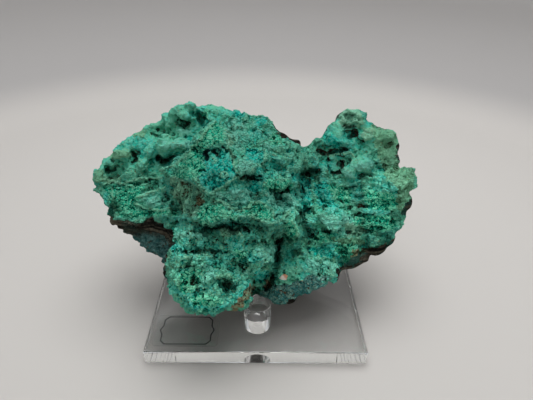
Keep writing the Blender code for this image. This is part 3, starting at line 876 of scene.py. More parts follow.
def fine_relief(make, place):
    bent = warped(make, place, 2.0, 1.2)
    webs = make.ramp(make.cells(bent, 1 / 2.0, "DISTANCE_TO_EDGE"), 0.0, 0.16, 1.0, 0.0)
    grit = make.math("SUBTRACT", make.noise(place, 1 / 1.1, 2.0, 0.6), 0.5)
    return weighted(make, [
        zoned(make, grit, nodular=0.4, grainy=0.3, blocky=0.35, ribbed=0.4, plain=0.4, smooth=0.6, broken=0.3),
        zoned(make, puffs(make, bent, 1.4), grainy=0.15, nodular=0.08, plain=0.10),
        zoned(make, beads(make, bent, 1.3), grainy=0.40),
        zoned(make, chips(make, bent, 1.3), blocky=0.6, broken=0.25, grainy=0.2, ribbed=0.35, plain=0.4,
              nodular=0.35, smooth=0.3),
        zoned(make, webs, grainy=0.15),
    ])


def add_relief(obj, name, build):
    modifier = obj.modifiers.new(name, "NODES")
    modifier.node_group = relief_group(name, build)
    apply_modifiers(obj)


def tip_centre(obj, across, down, radius):
    """The centre of a ball that just touches the sight line of a place beside the object."""
    tree = BVHTree.FromObject(obj, bpy.context.evaluated_depsgraph_get())
    start, ray = sight_line(across, down)
    depth = (Vector(obj.bound_box[0]) + Vector(obj.bound_box[6])) / 2 - start
    reach = depth.dot(ray)
    for _ in range(6):
        nearest = tree.find_nearest(start + ray * reach)[0]
        reach = (nearest - start).dot(ray)
    target = start + ray * reach
    return target + (nearest - target).normalized() * radius * MM


def add_lumps(stone, look):
    """Sinks a rough ball into the crust at each lump's place and behind each tip of the outline."""
    balls = []
    for across, down, radius in LUMPS:
        point, normal = look(across, down)
        balls.append(((point - normal * radius * LUMP_SINK) * MM, radius))
    for across, down, radius in TIPS:
        balls.append((tip_centre(stone, across, down, radius), radius))
    make_active(stone)
    bpy.ops.object.mode_set(mode="EDIT")
    for index, (centre, radius) in enumerate(balls):
        turn = (index * 1.3, index * 0.7, index * 2.1)
        bpy.ops.mesh.primitive_ico_sphere_add(
            subdivisions=3, radius=radius * MM, location=centre, rotation=turn, scale=LUMP_SHAPE)
    bpy.ops.object.mode_set(mode="OBJECT")


def line_spots(look, places):
    """Points on the crust along a line of places, less than a millimetre apart."""
    spots = []
    for (x0, y0), (x1, y1) in zip(places, places[1:]):
        steps = max(1, math.ceil(math.hypot(x1 - x0, y1 - y0)))
        for step in range(steps):
            t = step / steps
            spots.append(look(x0 + t * (x1 - x0), y0 + t * (y1 - y0))[0])
    return spots


def line_distance(points, look, places):
    """How far each point is from a line of places, in millimetres."""
    away = np.full(len(points), 1e9)
    for spot in line_spots(look, places):
        away = np.minimum(away, np.sum((points - np.array(spot)) ** 2, axis=1))
    return np.sqrt(away)


def line_height(points, look, lines):
    """How far each point, in millimetres, is moved by lines that each have a height and a half width."""
    ragged = wander(points, 2.6, 1.3)
    height = np.zeros(len(points))
    for places, rise, width in lines:
        away = line_distance(ragged, look, places) / width
        height = np.maximum(height, rise * np.exp(-away ** 2))
    return height


def shape_pits_and_ridges(stone, look):
    """Pushes the pits in and draws the ridges out."""
    mesh = stone.data
    points = points_of(mesh) / MM
    normals = normals_of(mesh)
    height = line_height(points, look, RIDGES) - line_height(points, look, TRENCHES)
    spots = view_spots(wander(points, 4.0, 0.8))
    front = smoothstep(-0.2, 0.3, normals @ np.array(FRONT))
    for corners, rise in RAISED:
        height += rise * front * smoothstep(-1.6, 1.6, depth_inside(spots, corners))
    moved = points + normals * height[:, None]
    ragged = wander(points, 4.0, 2.0)
    for across, down, radius, depth in PITS:
        centre, normal = look(across, down)
        away = np.linalg.norm(ragged - np.array(centre), axis=1) / radius
        sink = depth * smoothstep(1.3, 0.2, away)
        moved -= np.array(normal)[None, :] * sink[:, None]
    mesh.vertices.foreach_set("co", (moved * MM).astype(np.float32).ravel())
    mesh.update()


def line_weights(mesh):
    """How much each point lies on a pale crest, and how much in a dark crack."""
    spots = view_spots(wander(points_of(mesh) / MM, 3.0, 0.5))
    front = smoothstep(-0.2, 0.3, normals_of(mesh) @ np.array(FRONT))
    pale, dark = np.zeros(len(spots)), np.zeros(len(spots))
    for places in PALE_LINES:
        pale = np.maximum(pale, near_line(spots, places, PALE_WIDTH))
    for places, width in DARK_LINES:
        dark = np.maximum(dark, near_line(spots, places, width))
    return pale * front, dark * front


def cut_lines(mesh):
    """Draws the pale crests out and sinks the dark cracks."""
    pale, dark = line_weights(mesh)
    points = points_of(mesh) / MM + normals_of(mesh) * (PALE_RISE * pale - DARK_SINK * dark)[:, None]
    mesh.vertices.foreach_set("co", (points * MM).astype(np.float32).ravel())
    mesh.update()


def mark_stains_and_painted_light(stone, look):
    mesh = stone.data
    points = wander(points_of(mesh) / MM, 4.0, 1.0)
    for name, places in STAINS_AND_SHADE.items():
        store(mesh, name, zone_weight(points, look, places, edge=(1.5, 0.2)))
    spots = view_spots(points)
    for name, patches in PATCHES.items():
        weight = np.zeros(len(points))
        for corners in patches:
            weight = np.maximum(weight, smoothstep(-2.5, 2.5, depth_inside(spots, corners)))
        store(mesh, name, weight)
    pale, dark = line_weights(mesh)
    store(mesh, "crest", pale)
    store(mesh, "crack", dark)


def neighbour_mean(values, edges, degree, repeats):
    """Averages each point's values with its neighbours', again and again."""
    for _ in range(repeats):
        total = np.empty_like(values)
        for axis in range(values.shape[1]):
            column = values[:, axis]
            total[:, axis] = (
                np.bincount(edges[:, 0], column[edges[:, 1]], len(values))
                + np.bincount(edges[:, 1], column[edges[:, 0]], len(values))
            )
        values = 0.5 * values + 0.5 * total / degree
    return values


def mark_hollows(mesh):
    """Stores how far each point stands out of its surroundings, at three scales, in millimetres."""
    points = points_of(mesh) / MM
    normals = normals_of(mesh)
    flat = np.empty(len(mesh.edges) * 2, np.int32)
    mesh.edges.foreach_get("vertices", flat)
    edges = flat.reshape(-1, 2)
    degree = np.maximum(np.bincount(edges.ravel(), minlength=len(points)), 1)[:, None]
    mean = points
    for name, repeats in (("stand_fine", 3), ("stand_middle", 22), ("stand_wide", 120)):
        mean = neighbour_mean(mean, edges, degree, repeats)
        store(mesh, name, np.sum((points - mean) * normals, axis=1))


def mark_openness(stone):
    """Stores how open each point is: 1 on a bare crest, near 0 deep in a hollow. The crust's colour uses it for
    painted shade.
    """
    mesh = stone.data
    tree = BVHTree.FromObject(stone, bpy.context.evaluated_depsgraph_get())
    points = points_of(mesh)
    normals = normals_of(mesh)
    helper = np.where(np.abs(normals[:, 2:3]) < 0.9, [[0.0, 0.0, 1.0]], [[1.0, 0.0, 0.0]])
    side = np.cross(helper, normals)
    side /= np.linalg.norm(side, axis=1)[:, None]
    other = np.cross(normals, side)
    starts = (points + normals * OPEN_START).tolist()
    total = np.zeros(len(points))
    for step in range(OPEN_RAYS):
        spread = math.sqrt((step + 0.5) / OPEN_RAYS)
        angle = step * math.pi * (3 - math.sqrt(5))
        lift = math.sqrt(1 - spread * spread)
        ways = normals * lift + (side * math.cos(angle) + other * math.sin(angle)) * spread
        for index, way in enumerate(ways.tolist()):
            away = tree.ray_cast(starts[index], way, OPEN_REACH)[3]
            total[index] += 1.0 if away is None else away / OPEN_REACH
    store(mesh, "open", total / OPEN_RAYS)


def blend_colour(make, first, second, factor, kind="MIX"):
    made = make.tree.nodes.new("ShaderNodeMix")
    made.data_type = "RGBA"
    made.blend_type = kind
    make.feed(made.inputs[0], factor)
    make.feed(made.inputs[6], (*first, 1.0) if isinstance(first, tuple) else first)
    make.feed(made.inputs[7], (*second, 1.0) if isinstance(second, tuple) else second)
    return made.outputs[2]


def tone_ramp(make, tone, stops):
    """A colour for each tone from 0 to 1: each stop is a place and a colour."""
    made = make.add("ShaderNodeValToRGB", None, Fac=tone)
    band = made.color_ramp
    band.interpolation = "LINEAR"
    while len(band.elements) < len(stops):
        band.elements.new(0.5)
    for element, (place, colour) in zip(band.elements, stops):
        element.position = place
        element.color = (*colour, 1.0)
    return made.outputs["Color"]


# Tones of the crust and its stains, from the hollows to the tips; the dark end is partly painted shade and the
# light end partly painted highlight.
SEA_GREEN = [
    (0.0, (0.0206, 0.073, 0.0491)), (0.22, (0.0301, 0.172, 0.112)), (0.42, (0.0493, 0.317, 0.205)),
    (0.62, (0.0776, 0.41, 0.275)), (0.80, (0.0914, 0.42, 0.285)), (1.0, (0.111, 0.42, 0.291)),
]
TEAL = [
    (0.0, (0.00267, 0.0747, 0.0628)), (0.22, (0.00221, 0.188, 0.152)), (0.42, (0.00386, 0.328, 0.258)),
    (0.62, (0.0079, 0.411, 0.328)), (0.80, (0.024, 0.43, 0.352)), (1.0, (0.0734, 0.441, 0.365)),
]
EMERALD = [
    (0.0, (0.00246, 0.064, 0.0391)), (0.22, (0.00203, 0.151, 0.0955)), (0.42, (0.00534, 0.28, 0.176)),
    (0.62, (0.0146, 0.365, 0.227)), (0.80, (0.0516, 0.437, 0.275)), (1.0, (0.159, 0.551, 0.36)),
]
OLIVE = [
    (0.0, (0.0314, 0.0554, 0.0304)), (0.30, (0.0718, 0.174, 0.0941)), (0.60, (0.112, 0.289, 0.167)),
    (0.80, (0.124, 0.312, 0.183)), (1.0, (0.134, 0.325, 0.198)),
]
PALE = [
    (0.0, (0.0125, 0.075, 0.0562)), (0.30, (0.0351, 0.211, 0.158)), (0.60, (0.0768, 0.39, 0.288)),
    (0.80, (0.111, 0.451, 0.345)), (1.0, (0.16, 0.49, 0.385)),
]
TAN = [
    (0.0, (0.023, 0.0287, 0.0197)), (0.3, (0.0776, 0.105, 0.0662)), (0.6, (0.131, 0.209, 0.128)),
    (0.8, (0.182, 0.318, 0.195)), (1.0, (0.26, 0.43, 0.275)),
]
RUST = [(0.0, (0.016, 0.008, 0.004)), (0.5, (0.085, 0.038, 0.016)), (1.0, (0.22, 0.12, 0.06))]


def stone_material():
    """Crust in sea greens with stained and coloured patches, painted shade in its hollows, cracks and under its
    overhangs, and painted light on its lower front, over dark bedded rock.
    """
    material, make, shader, place = new_material("chrysocolla_crust")

    def attribute(name):
        return make.add("ShaderNodeAttribute", {"attribute_name": name}).outputs["Fac"]

    def broken_up(weight, noise, low=0.35, high=0.65):
        """A stain's weight with its edge eaten by noise."""
        eaten = make.math("ADD", weight, make.math("MULTIPLY", make.math("SUBTRACT", noise, 0.5), 0.9))
        return make.ramp(eaten, low, high)

    fine, middle, wide = attribute("stand_fine"), attribute("stand_middle"), attribute("stand_wide")
    drift = make.noise(place, 1 / 11, 3.0)
    blotch = make.noise(place, 1 / 3.2, 3.0, 0.6)
    speckle = make.noise(place, 1 / 0.9, 2.0, 0.7)
    mottle = make.noise(warped(make, place, 2.5, 2.0), 1 / 2.0, 3.0, 0.6)
    pebbles, shards = warped(make, place, 1.5, 0.6), warped(make, place, 2.2, 1.5)
    grain = make.ramp(make.cells(pebbles, 1 / 0.8), 0.15, 0.60, 1.0, 0.0)
    crack = make.ramp(make.cells(shards, 1 / 2.4, "DISTANCE_TO_EDGE"), 0.0, 0.10, 1.0, 0.0)
    seam = make.ramp(make.cells(pebbles, 1 / 0.8, "DISTANCE_TO_EDGE"), 0.0, 0.14, 1.0, 0.0)
    chip = make.cells(shards, 1 / 2.4, out="Color")
    chip = make.add("ShaderNodeSeparateXYZ", None, Vector=chip).outputs[0]

    granular = make.math("MAXIMUM", attribute("green"), make.math("MULTIPLY", attribute("grainy"), 0.5))
    granular = make.math("MAXIMUM", granular, make.math("MULTIPLY", attribute("blue"), 0.7))
    blocky = attribute("blocky")
    # The tone goes from hollow to tip, and more calmly on the nodules. Its openness and stand-out terms are painted
    # shade in the hollows and painted highlight on the crests; its crack and seam terms are painted shade in the
    # creases between chips and grains.
    calm = make.math("SUBTRACT", 1.0, make.math("MULTIPLY", attribute("nodular"), 0.7))
    tone = weighted(make, [
        (make.ramp(attribute("open"), 0.30, 0.95), 0.40),
        (make.ramp(wide, -2.0, 1.2), 0.16),
        (make.ramp(middle, -0.7, 0.6), 0.14),
        (make.ramp(fine, -0.22, 0.26), 0.28),
        (grain, make.math("ADD", 0.02, make.math("MULTIPLY", granular, 0.46))),
        (granular, -0.22),
        (attribute("blue"), -0.08),
        (crack, make.math("MULTIPLY", calm, make.math("SUBTRACT", -0.22, make.math("MULTIPLY", blocky, 0.26)))),
        (seam, make.math("MULTIPLY", granular, -0.16)),
        (chip, make.math("MULTIPLY", calm, make.math("ADD", 0.21, make.math("MULTIPLY", blocky, 0.25)))),
        (make.ramp(mottle, 0.3, 0.7), 0.12),
        (make.ramp(speckle, 0.3, 0.7), 0.10),
    ])
    tone = make.add("ShaderNodeMapRange", None, Value=tone, From_Min=0.20, From_Max=0.91).outputs["Result"]
    hue = make.math("ADD", mottle, make.math("MULTIPLY", make.math("SUBTRACT", drift, 0.5), 1.4))
    colour = blend_colour(make, tone_ramp(make, tone, SEA_GREEN), tone_ramp(make, tone, TEAL),
                          make.math("MULTIPLY", make.ramp(hue, 0.42, 0.64), 0.7))
    for name, stops, noise, share in (
        ("pale", PALE, mottle, 0.75), ("green", EMERALD, mottle, 0.98), ("blue", TEAL, blotch, 0.98),
        ("olive", OLIVE, mottle, 0.92), ("tan", TAN, mottle, 0.5),
    ):
        weight = make.math("MULTIPLY", broken_up(attribute(name), noise), share)
        colour = blend_colour(make, colour, tone_ramp(make, tone, stops), weight)
    earth = make.math("MULTIPLY", broken_up(attribute("earth"), speckle), 0.85)
    colour = blend_colour(make, colour, tone_ramp(make, tone, RUST), earth)
    # The highest tips are paler: painted highlight on the crests.
    tip_highlight = make.math("MULTIPLY", make.ramp(tone, 0.72, 0.95), make.ramp(blotch, 0.46, 0.60))
    tip_highlight = make.math("MULTIPLY", tip_highlight, make.math("SUBTRACT", 0.35, make.math("MULTIPLY", granular, 0.25)))
    colour = blend_colour(make, colour, (0.12, 0.42, 0.27), tip_highlight)
    # Grains along the ridges are creamy; tan specks lie everywhere and rust lies in the creases.
    grains = make.math("MULTIPLY", make.math("MULTIPLY", granular, grain), make.ramp(tone, 0.45, 0.75))
    colour = blend_colour(make, colour, (0.15, 0.56, 0.33), make.math("MULTIPLY", grains, 0.42))
    vein = make.ramp(make.cells(warped(make, place, 3.0, 2.6), 1 / 3.0, "DISTANCE_TO_EDGE"), 0.03, 0.08, 1.0, 0.0)
    vein = make.math("MULTIPLY", vein, make.ramp(make.noise(place, 1 / 4.0), 0.46, 0.58))
    vein = make.math("MULTIPLY", vein, calm)
    share = make.math("ADD", make.math("MULTIPLY", blocky, 0.35), 0.35)
    share = make.math("MULTIPLY", share, make.math("SUBTRACT", 1.0, make.math("MULTIPLY", granular, 0.8)))
    colour = blend_colour(make, colour, (0.21, 0.49, 0.31), make.math("MULTIPLY", vein, share))
    crest = make.math("MULTIPLY", attribute("crest"), make.ramp(speckle, 0.35, 0.60, 0.35, 0.85))
    colour = blend_colour(make, colour, (0.22, 0.54, 0.35), crest)
    # The lift patches are lightened: painted light thrown up from the floor onto the lower front.
    colour = blend_colour(make, colour, (1.55, 1.55, 1.55), attribute("lift"), "MULTIPLY")
    specks = make.ramp(make.noise(place, 1 / 0.8, 1.0), 0.62, 0.68)
    specks = make.math("MULTIPLY", specks, make.ramp(blotch, 0.45, 0.6))
    specks = make.math("MULTIPLY", specks, make.math("SUBTRACT", 0.5, make.math("MULTIPLY", granular, 0.35)))
    colour = blend_colour(make, colour, (0.22, 0.19, 0.10), specks)
    rust = make.math("MULTIPLY", broken_up(attribute("rust"), speckle, 0.4, 0.7), make.ramp(tone, 0.75, 0.40))
    colour = blend_colour(make, colour, tone_ramp(make, tone, RUST), make.math("MULTIPLY", rust, 0.85))
    # Deep hollows are painted near-black brown where the openness is low: painted shade.
    crevice_shade = make.ramp(make.math("ADD", attribute("open"), make.math("MULTIPLY", blotch, 0.4)), 0.76, 0.52)
    crevice_shade = make.math("MULTIPLY", crevice_shade, make.ramp(mottle, 0.50, 0.58))
    colour = blend_colour(make, colour, (0.030, 0.018, 0.010), crevice_shade)
    # The next two multiply the colour down: painted shade in the pits, trenches and under the overhangs, and a
    # fainter, wider painted shade low on the front.
    colour = blend_colour(make, colour, (0.14, 0.22, 0.20),
                          make.math("MULTIPLY", broken_up(attribute("dark"), mottle), 0.8), "MULTIPLY")
    colour = blend_colour(make, colour, (0.50, 0.58, 0.56),
                          make.math("MULTIPLY", broken_up(attribute("painted_shade"), mottle), 0.9), "MULTIPLY")
    colour = blend_colour(make, colour, (0.008, 0.045, 0.048), broken_up(attribute("slate"), speckle, 0.45, 0.6))
    # The dark cracks are darkened: painted shade in the cracks.
    colour = blend_colour(make, colour, (0.10, 0.13, 0.11),
                          make.math("MULTIPLY", attribute("crack"), 0.75), "MULTIPLY")
    # The smooth face low on the right is slate blue, crackled with dark and pale lines.
    crackle = make.cells(warped(make, place, 3.0, 2.0), 1 / 2.6, "DISTANCE_TO_EDGE")
    slate = blend_colour(make, (0.045, 0.225, 0.215), (0.18, 0.40, 0.33), make.ramp(mottle, 0.40, 0.62))
    slate = blend_colour(make, slate, (0.38, 0.52, 0.42), make.ramp(speckle, 0.56, 0.70))
    slate = blend_colour(make, slate, (0.12, 0.08, 0.05), make.ramp(blotch, 0.62, 0.70))
    slate = blend_colour(make, slate, (0.020, 0.060, 0.052), make.ramp(crackle, 0.07, 0.0))
    # The slate face darkens where the tone is low: painted shade in its hollows.
    slate = blend_colour(make, slate, (0.010, 0.035, 0.032), make.ramp(tone, 0.32, 0.05))
    colour = blend_colour(make, colour, slate, broken_up(attribute("smooth"), mottle, 0.30, 0.55))
    # Bare rock on the back, the underside and the broken end, which turns blue-green towards its foot.
    beds = make.add("ShaderNodeMapping", None, Vector=warped(make, place, 12.0, 4.0))
    beds.inputs["Scale"].default_value = (0.05, 0.05, 0.9)
    rock = blend_colour(make, (0.015, 0.014, 0.012), (0.115, 0.105, 0.078),
                        make.ramp(make.noise(beds.outputs[0], 0.8, 3.0), 0.40, 0.64))
    stain = make.ramp(make.noise(place, 1 / 9, 4.0, 0.6), 0.50, 0.60)
    unbroken = make.math("SUBTRACT", 0.7, make.math("MULTIPLY", attribute("broken"), 0.5))
    stain = make.math("MULTIPLY", stain, unbroken)
    rock = blend_colour(make, rock, (0.032, 0.130, 0.105), stain)
    height = make.add("ShaderNodeSeparateXYZ", None, Vector=warped(make, place, 6.0, 5.0)).outputs[2]
    foot = make.math("MULTIPLY", make.ramp(height, BROKEN_FOOT + 2.5, BROKEN_FOOT - 2.5), attribute("broken"))
    blue_rock = blend_colour(make, (0.040, 0.135, 0.130), (0.115, 0.255, 0.240), make.ramp(mottle, 0.38, 0.62))
    blue_rock = blend_colour(make, blue_rock, (0.115, 0.080, 0.050), make.ramp(blotch, 0.56, 0.66))
    rock = blend_colour(make, rock, blue_rock, foot)
    bare = make.math("SUBTRACT", 1.0, attribute("crust"))
    ragged = make.math("MULTIPLY", make.math("SUBTRACT", blotch, 0.5), 0.8)
    bare = make.ramp(make.math("ADD", bare, ragged), 0.4, 0.6)
    colour = blend_colour(make, colour, rock, bare)
    make.feed(shader.inputs["Base Color"], colour)
    make.feed(shader.inputs["Roughness"], make.ramp(speckle, 0.3, 0.7, 0.60, 0.95))
    shader.inputs["Specular IOR Level"].default_value = 0.0
    rough = weighted(make, [(grain, 0.6), (crack, -0.7), (chip, 0.5), (make.noise(place, 1 / 0.7, 2.0, 0.6), 1.0)])
    bump = make.add("ShaderNodeBump", None, Height=rough)
    make.feed(bump.inputs["Strength"], make.math("MULTIPLY", calm, 1.0, clamp=True))
    bump.inputs["Distance"].default_value = 0.7 * MM
    make.feed(shader.inputs["Normal"], bump.outputs[0])
    return material


def build_stone(settings):
    stone = merged_copy("chrysocolla_stone", "stone")
    remesh(stone, settings.base_voxel)
    smooth(stone, 0.5, 6)
    add_lumps(stone, sight_of(stone))
    remesh(stone, settings.base_voxel)
    look = sight_of(stone)
    mark_zones(stone, look)
    add_relief(stone, "coarse relief", coarse_relief)
    look = sight_of(stone)
    shape_pits_and_ridges(stone, look)
    remesh(stone, settings.middle_voxel)
    mark_zones(stone, look)
    add_relief(stone, "middle relief", middle_relief)
    remesh(stone, settings.voxel)
    mark_zones(stone, look)
    add_relief(stone, "fine relief", fine_relief)
    cut_lines(stone.data)
    decimate(stone, settings.triangles)
    make_active(stone)
    bpy.ops.object.shade_smooth_by_angle(angle=math.radians(STONE_EDGE))
    mark_zones(stone, look)
    mark_stains_and_painted_light(stone, look)
    mark_hollows(stone.data)
    mark_openness(stone)
    stone.data.materials.clear()
    stone.data.materials.append(stone_material())
    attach(stone, BODY)
    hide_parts("chrysocolla_stone")


def grain_material(centre):
    """Chalky white crystal that turns salmon pink on the side away from its left foot."""
    material, make, shader, place = new_material("chalky_grain")
    noise = make.noise(place, 1 / 1.6, 3.0)
    side = make.vector("DOT_PRODUCT", make.vector("SUBTRACT", place, tuple(centre / MM)), (0.5, 0.2, 0.4))
    side = make.math("ADD", side, make.math("MULTIPLY", make.math("SUBTRACT", noise, 0.5), 2.0))
    colour = blend_colour(make, (0.74, 0.67, 0.58), (0.48, 0.23, 0.13), make.ramp(side, -0.1, 0.5))
    dirt = make.ramp(make.noise(place, 1 / 0.6, 2.0), 0.62, 0.72)
    colour = blend_colour(make, colour, (0.10, 0.13, 0.10), dirt)
    make.feed(shader.inputs["Base Color"], colour)
    make.feed(shader.inputs["Roughness"], make.ramp(noise, 0.3, 0.7, 0.35, 0.7))
    bump = make.add("ShaderNodeBump", None, Height=make.noise(place, 1 / 0.5, 2.0))
    bump.inputs["Strength"].default_value = 0.5
    bump.inputs["Distance"].default_value = 0.2 * MM
    make.feed(shader.inputs["Normal"], bump.outputs[0])
    return material


def build_chalky_grain():
    """A pale crystal set in the crust low on the right."""
    point, normal = sight_of(bpy.data.objects["stone"])(*GRAIN_PLACE)
    centre = (point + normal * 0.1 * GRAIN_RADIUS) * MM
    deselect_all()
    bpy.ops.mesh.primitive_ico_sphere_add(subdivisions=1, radius=GRAIN_RADIUS * MM)
    grain = bpy.context.object
    grain.name = grain.data.name = "chalky_grain"
    bpy.ops.object.mode_set(mode="EDIT")
    bpy.ops.mesh.select_all(action="SELECT")
    bpy.ops.transform.vertex_random(offset=0.6 * MM, seed=4)
    bpy.ops.transform.resize(value=(1.15, 0.85, 0.95), center_override=(0, 0, 0))
    bpy.ops.mesh.subdivide(number_cuts=4, fractal=0.25, seed=2)
    bpy.ops.transform.translate(value=centre)
    bpy.ops.object.mode_set(mode="OBJECT")
    bpy.ops.object.shade_smooth_by_angle(angle=math.radians(GRAIN_EDGE))
    grain.data.materials.append(grain_material(centre))
    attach(grain, BODY)


# ---------------------------------------------------------------------------------------------
# The stand


def clear_material(name, roughness):
    """A clear plastic that bends light; the caller adds what is printed on it or cut into it."""
    material, make, shader, place = new_material(name)
    shader.inputs["Base Color"].default_value = (1.0, 1.0, 1.0, 1.0)
    shader.inputs["Roughness"].default_value = roughness
    shader.inputs["Transmission Weight"].default_value = 1.0
    shader.inputs["IOR"].default_value = 1.49
    return material, make, shader, place


def acrylic_material():
    """Polished sheet and bar with a faint tint, a few rubbed patches and hairline scratches."""
    material, make, shader, place = clear_material("polished_acrylic", 0.0)
    rubbed = make.ramp(make.noise(place, 1 / 18, 3.0), 0.55, 0.75, 0.0, 0.03)
    along = make.add("ShaderNodeMapping", {"vector_type": "POINT"}, Vector=place)
    along.inputs["Rotation"].default_value = (0.0, 0.0, math.radians(24))
    along.inputs["Scale"].default_value = (0.25, 6.0, 1.0)
    hairline = make.ramp(make.noise(along.outputs[0], 0.5, 2.0), 0.70, 0.73, 0.0, 0.04)
    # The left and right sides are darker than the rest, a painted dark reflection, and not worn.
    across = make.add("ShaderNodeSeparateXYZ", None, Vector=place).outputs[0]
    plate_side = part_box("base_plate")[1][0] / MM
    side_reflection = make.ramp(make.math("ABSOLUTE", across), *(plate_side - band for band in SIDE_REFLECTION_BAND))
    worn = make.math("MULTIPLY", make.math("ADD", rubbed, hairline), make.math("SUBTRACT", 1.0, side_reflection))
    make.feed(shader.inputs["Roughness"], worn)
    make.feed(shader.inputs["Base Color"], blend_colour(make, (1.0, 1.0, 1.0), SIDE_REFLECTION_TINT, side_reflection))
    tint = make.add("ShaderNodeVolumeAbsorption")
    tint.inputs["Color"].default_value = (0.86, 0.97, 0.93, 1.0)
    tint.inputs["Density"].default_value = 1.6
    output = material.node_tree.nodes["Material Output"]
    make.feed(output.inputs["Volume"], tint.outputs[0])
    return material


def label_material():
    """Clear film with a thin printed border that turns in at its corners and swells at its ends."""
    material, make, shader, place = clear_material("label_film", 0.04)
    low, high = (Vector(corner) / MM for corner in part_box("label_film"))
    centre = (low + high) / 2
    size = LABEL_BORDER
    spot = make.vector("SUBTRACT", place, tuple(centre))
    parts = make.add("ShaderNodeSeparateXYZ", None, Vector=spot).outputs
    across = make.math("ABSOLUTE", parts[0])
    along = make.math("ABSOLUTE", parts[1])
    cusp = make.ramp(along, 0.0, LABEL_CUSP_REACH, LABEL_CUSP, 0.0)
    side = make.math("SUBTRACT", across, make.math("ADD", cusp, size[0] / 2 - LABEL_CUSP))
    end = make.math("SUBTRACT", along, size[1] / 2)
    corner = make.math("ADD", across, along)
    corner = make.math("SUBTRACT", corner, size[0] / 2 + size[1] / 2 - LABEL_CORNER - LABEL_CUSP)
    inside = make.math("MAXIMUM", make.math("MAXIMUM", side, end), make.math("MULTIPLY", corner, 0.7))
    line = make.ramp(make.math("ABSOLUTE", inside), LABEL_LINE * 0.4, LABEL_LINE * 0.7, 1.0, 0.0)
    face = make.math("MULTIPLY", line, make.ramp(parts[2], 0.0, 0.02))
    make.feed(shader.inputs["Base Color"], blend_colour(make, (0.93, 0.94, 0.93), (0.03, 0.03, 0.03), face))
    make.feed(shader.inputs["Transmission Weight"], make.math("SUBTRACT", 0.985, face, clamp=True))
    return material


def build_clear_stand():
    """The rod let down a little into the plate and joined to it, as one clear piece."""
    plate = merged_copy("base_plate", "clear_stand")
    rod = merged_copy("support_rod", "rod")
    plate_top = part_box("base_plate")[1][2]
    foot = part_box("support_rod")[0][2]
    make_active(rod)
    bpy.ops.object.mode_set(mode="EDIT")
    bpy.ops.mesh.select_all(action="DESELECT")
    bpy.ops.object.mode_set(mode="OBJECT")
    for vertex in rod.data.vertices:
        vertex.select = vertex.co.z < foot + 0.5 * MM
    bpy.ops.object.mode_set(mode="EDIT")
    bpy.ops.transform.translate(value=(0, 0, plate_top - foot - ROD_SINK))
    bpy.ops.object.mode_set(mode="OBJECT")
    union = plate.modifiers.new("Join", "BOOLEAN")
    union.operation = "UNION"
    union.solver = "EXACT"
    union.object = rod
    apply_modifiers(plate)
    bpy.data.objects.remove(rod)
    make_active(plate)
    bpy.ops.object.shade_smooth_by_angle(angle=math.radians(STAND_EDGE))
    for face in plate.data.polygons:
        face.select = max(abs(part) for part in face.normal) > 0.9999 and face.area > FLAT_AREA
    bpy.ops.object.mode_set(mode="EDIT")
    bpy.ops.mesh.faces_shade_flat()
    bpy.ops.object.mode_set(mode="OBJECT")
    plate.data.materials.clear()
    plate.data.materials.append(acrylic_material())
    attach(plate, BODY)
    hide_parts("base_plate", "support_rod")


def finish_label():
    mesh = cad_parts["label_film"].data
    mesh.materials.clear()
    mesh.materials.append(label_material())


# ---------------------------------------------------------------------------------------------
# Floor, lights and camera

# The floor lies a little below the plate. Its sweep: radius, radius of the bend, height, and how finely it is cut.
FLOOR_GAP = 0.4 * MM
SWEEP_RADIUS = 0.40
SWEEP_BEND = 0.10
SWEEP_HEIGHT = 0.42
SWEEP_STEPS = 16
SWEEP_SIDES = 96
FLOOR_RINGS = 6

# How often light may be turned back in the clear parts.
CLEAR_BOUNCES = 40

# Lamps: place and width of each soft box, and the point that both look at.
LIT_PLACE = (0, 0, 0.05)
KEY_PLACE = (0.05, 0.09, 0.72)
KEY_SIZE = 0.6
FILL_PLACE = (-0.12, -0.55, 0.45)
FILL_SIZE = 0.5

# The camera: place, tilt below level, turn and roll in degrees, lens and sensor width in millimetres.
CAMERA_PLACE = (0.000835, -0.174266, 0.168861)
CAMERA_TILT = 32.737
CAMERA_TURN = 1.098
CAMERA_ROLL = 1.25
CAMERA_LENS = 28.62
SENSOR = 36.0


def sweep_rings():
    """Radius and height of each ring of the sweep, from the top of its wall to the middle of its floor."""
    flat = SWEEP_RADIUS - SWEEP_BEND
    rings = [(SWEEP_RADIUS, SWEEP_HEIGHT)]
    for step in range(SWEEP_STEPS, 0, -1):
        angle = math.pi / 2 * step / SWEEP_STEPS
        rings.append((flat + SWEEP_BEND * math.sin(angle), SWEEP_BEND * (1 - math.cos(angle)) - FLOOR_GAP))
    return rings + [(flat * ring / FLOOR_RINGS, -FLOOR_GAP) for ring in range(FLOOR_RINGS, 0, -1)]


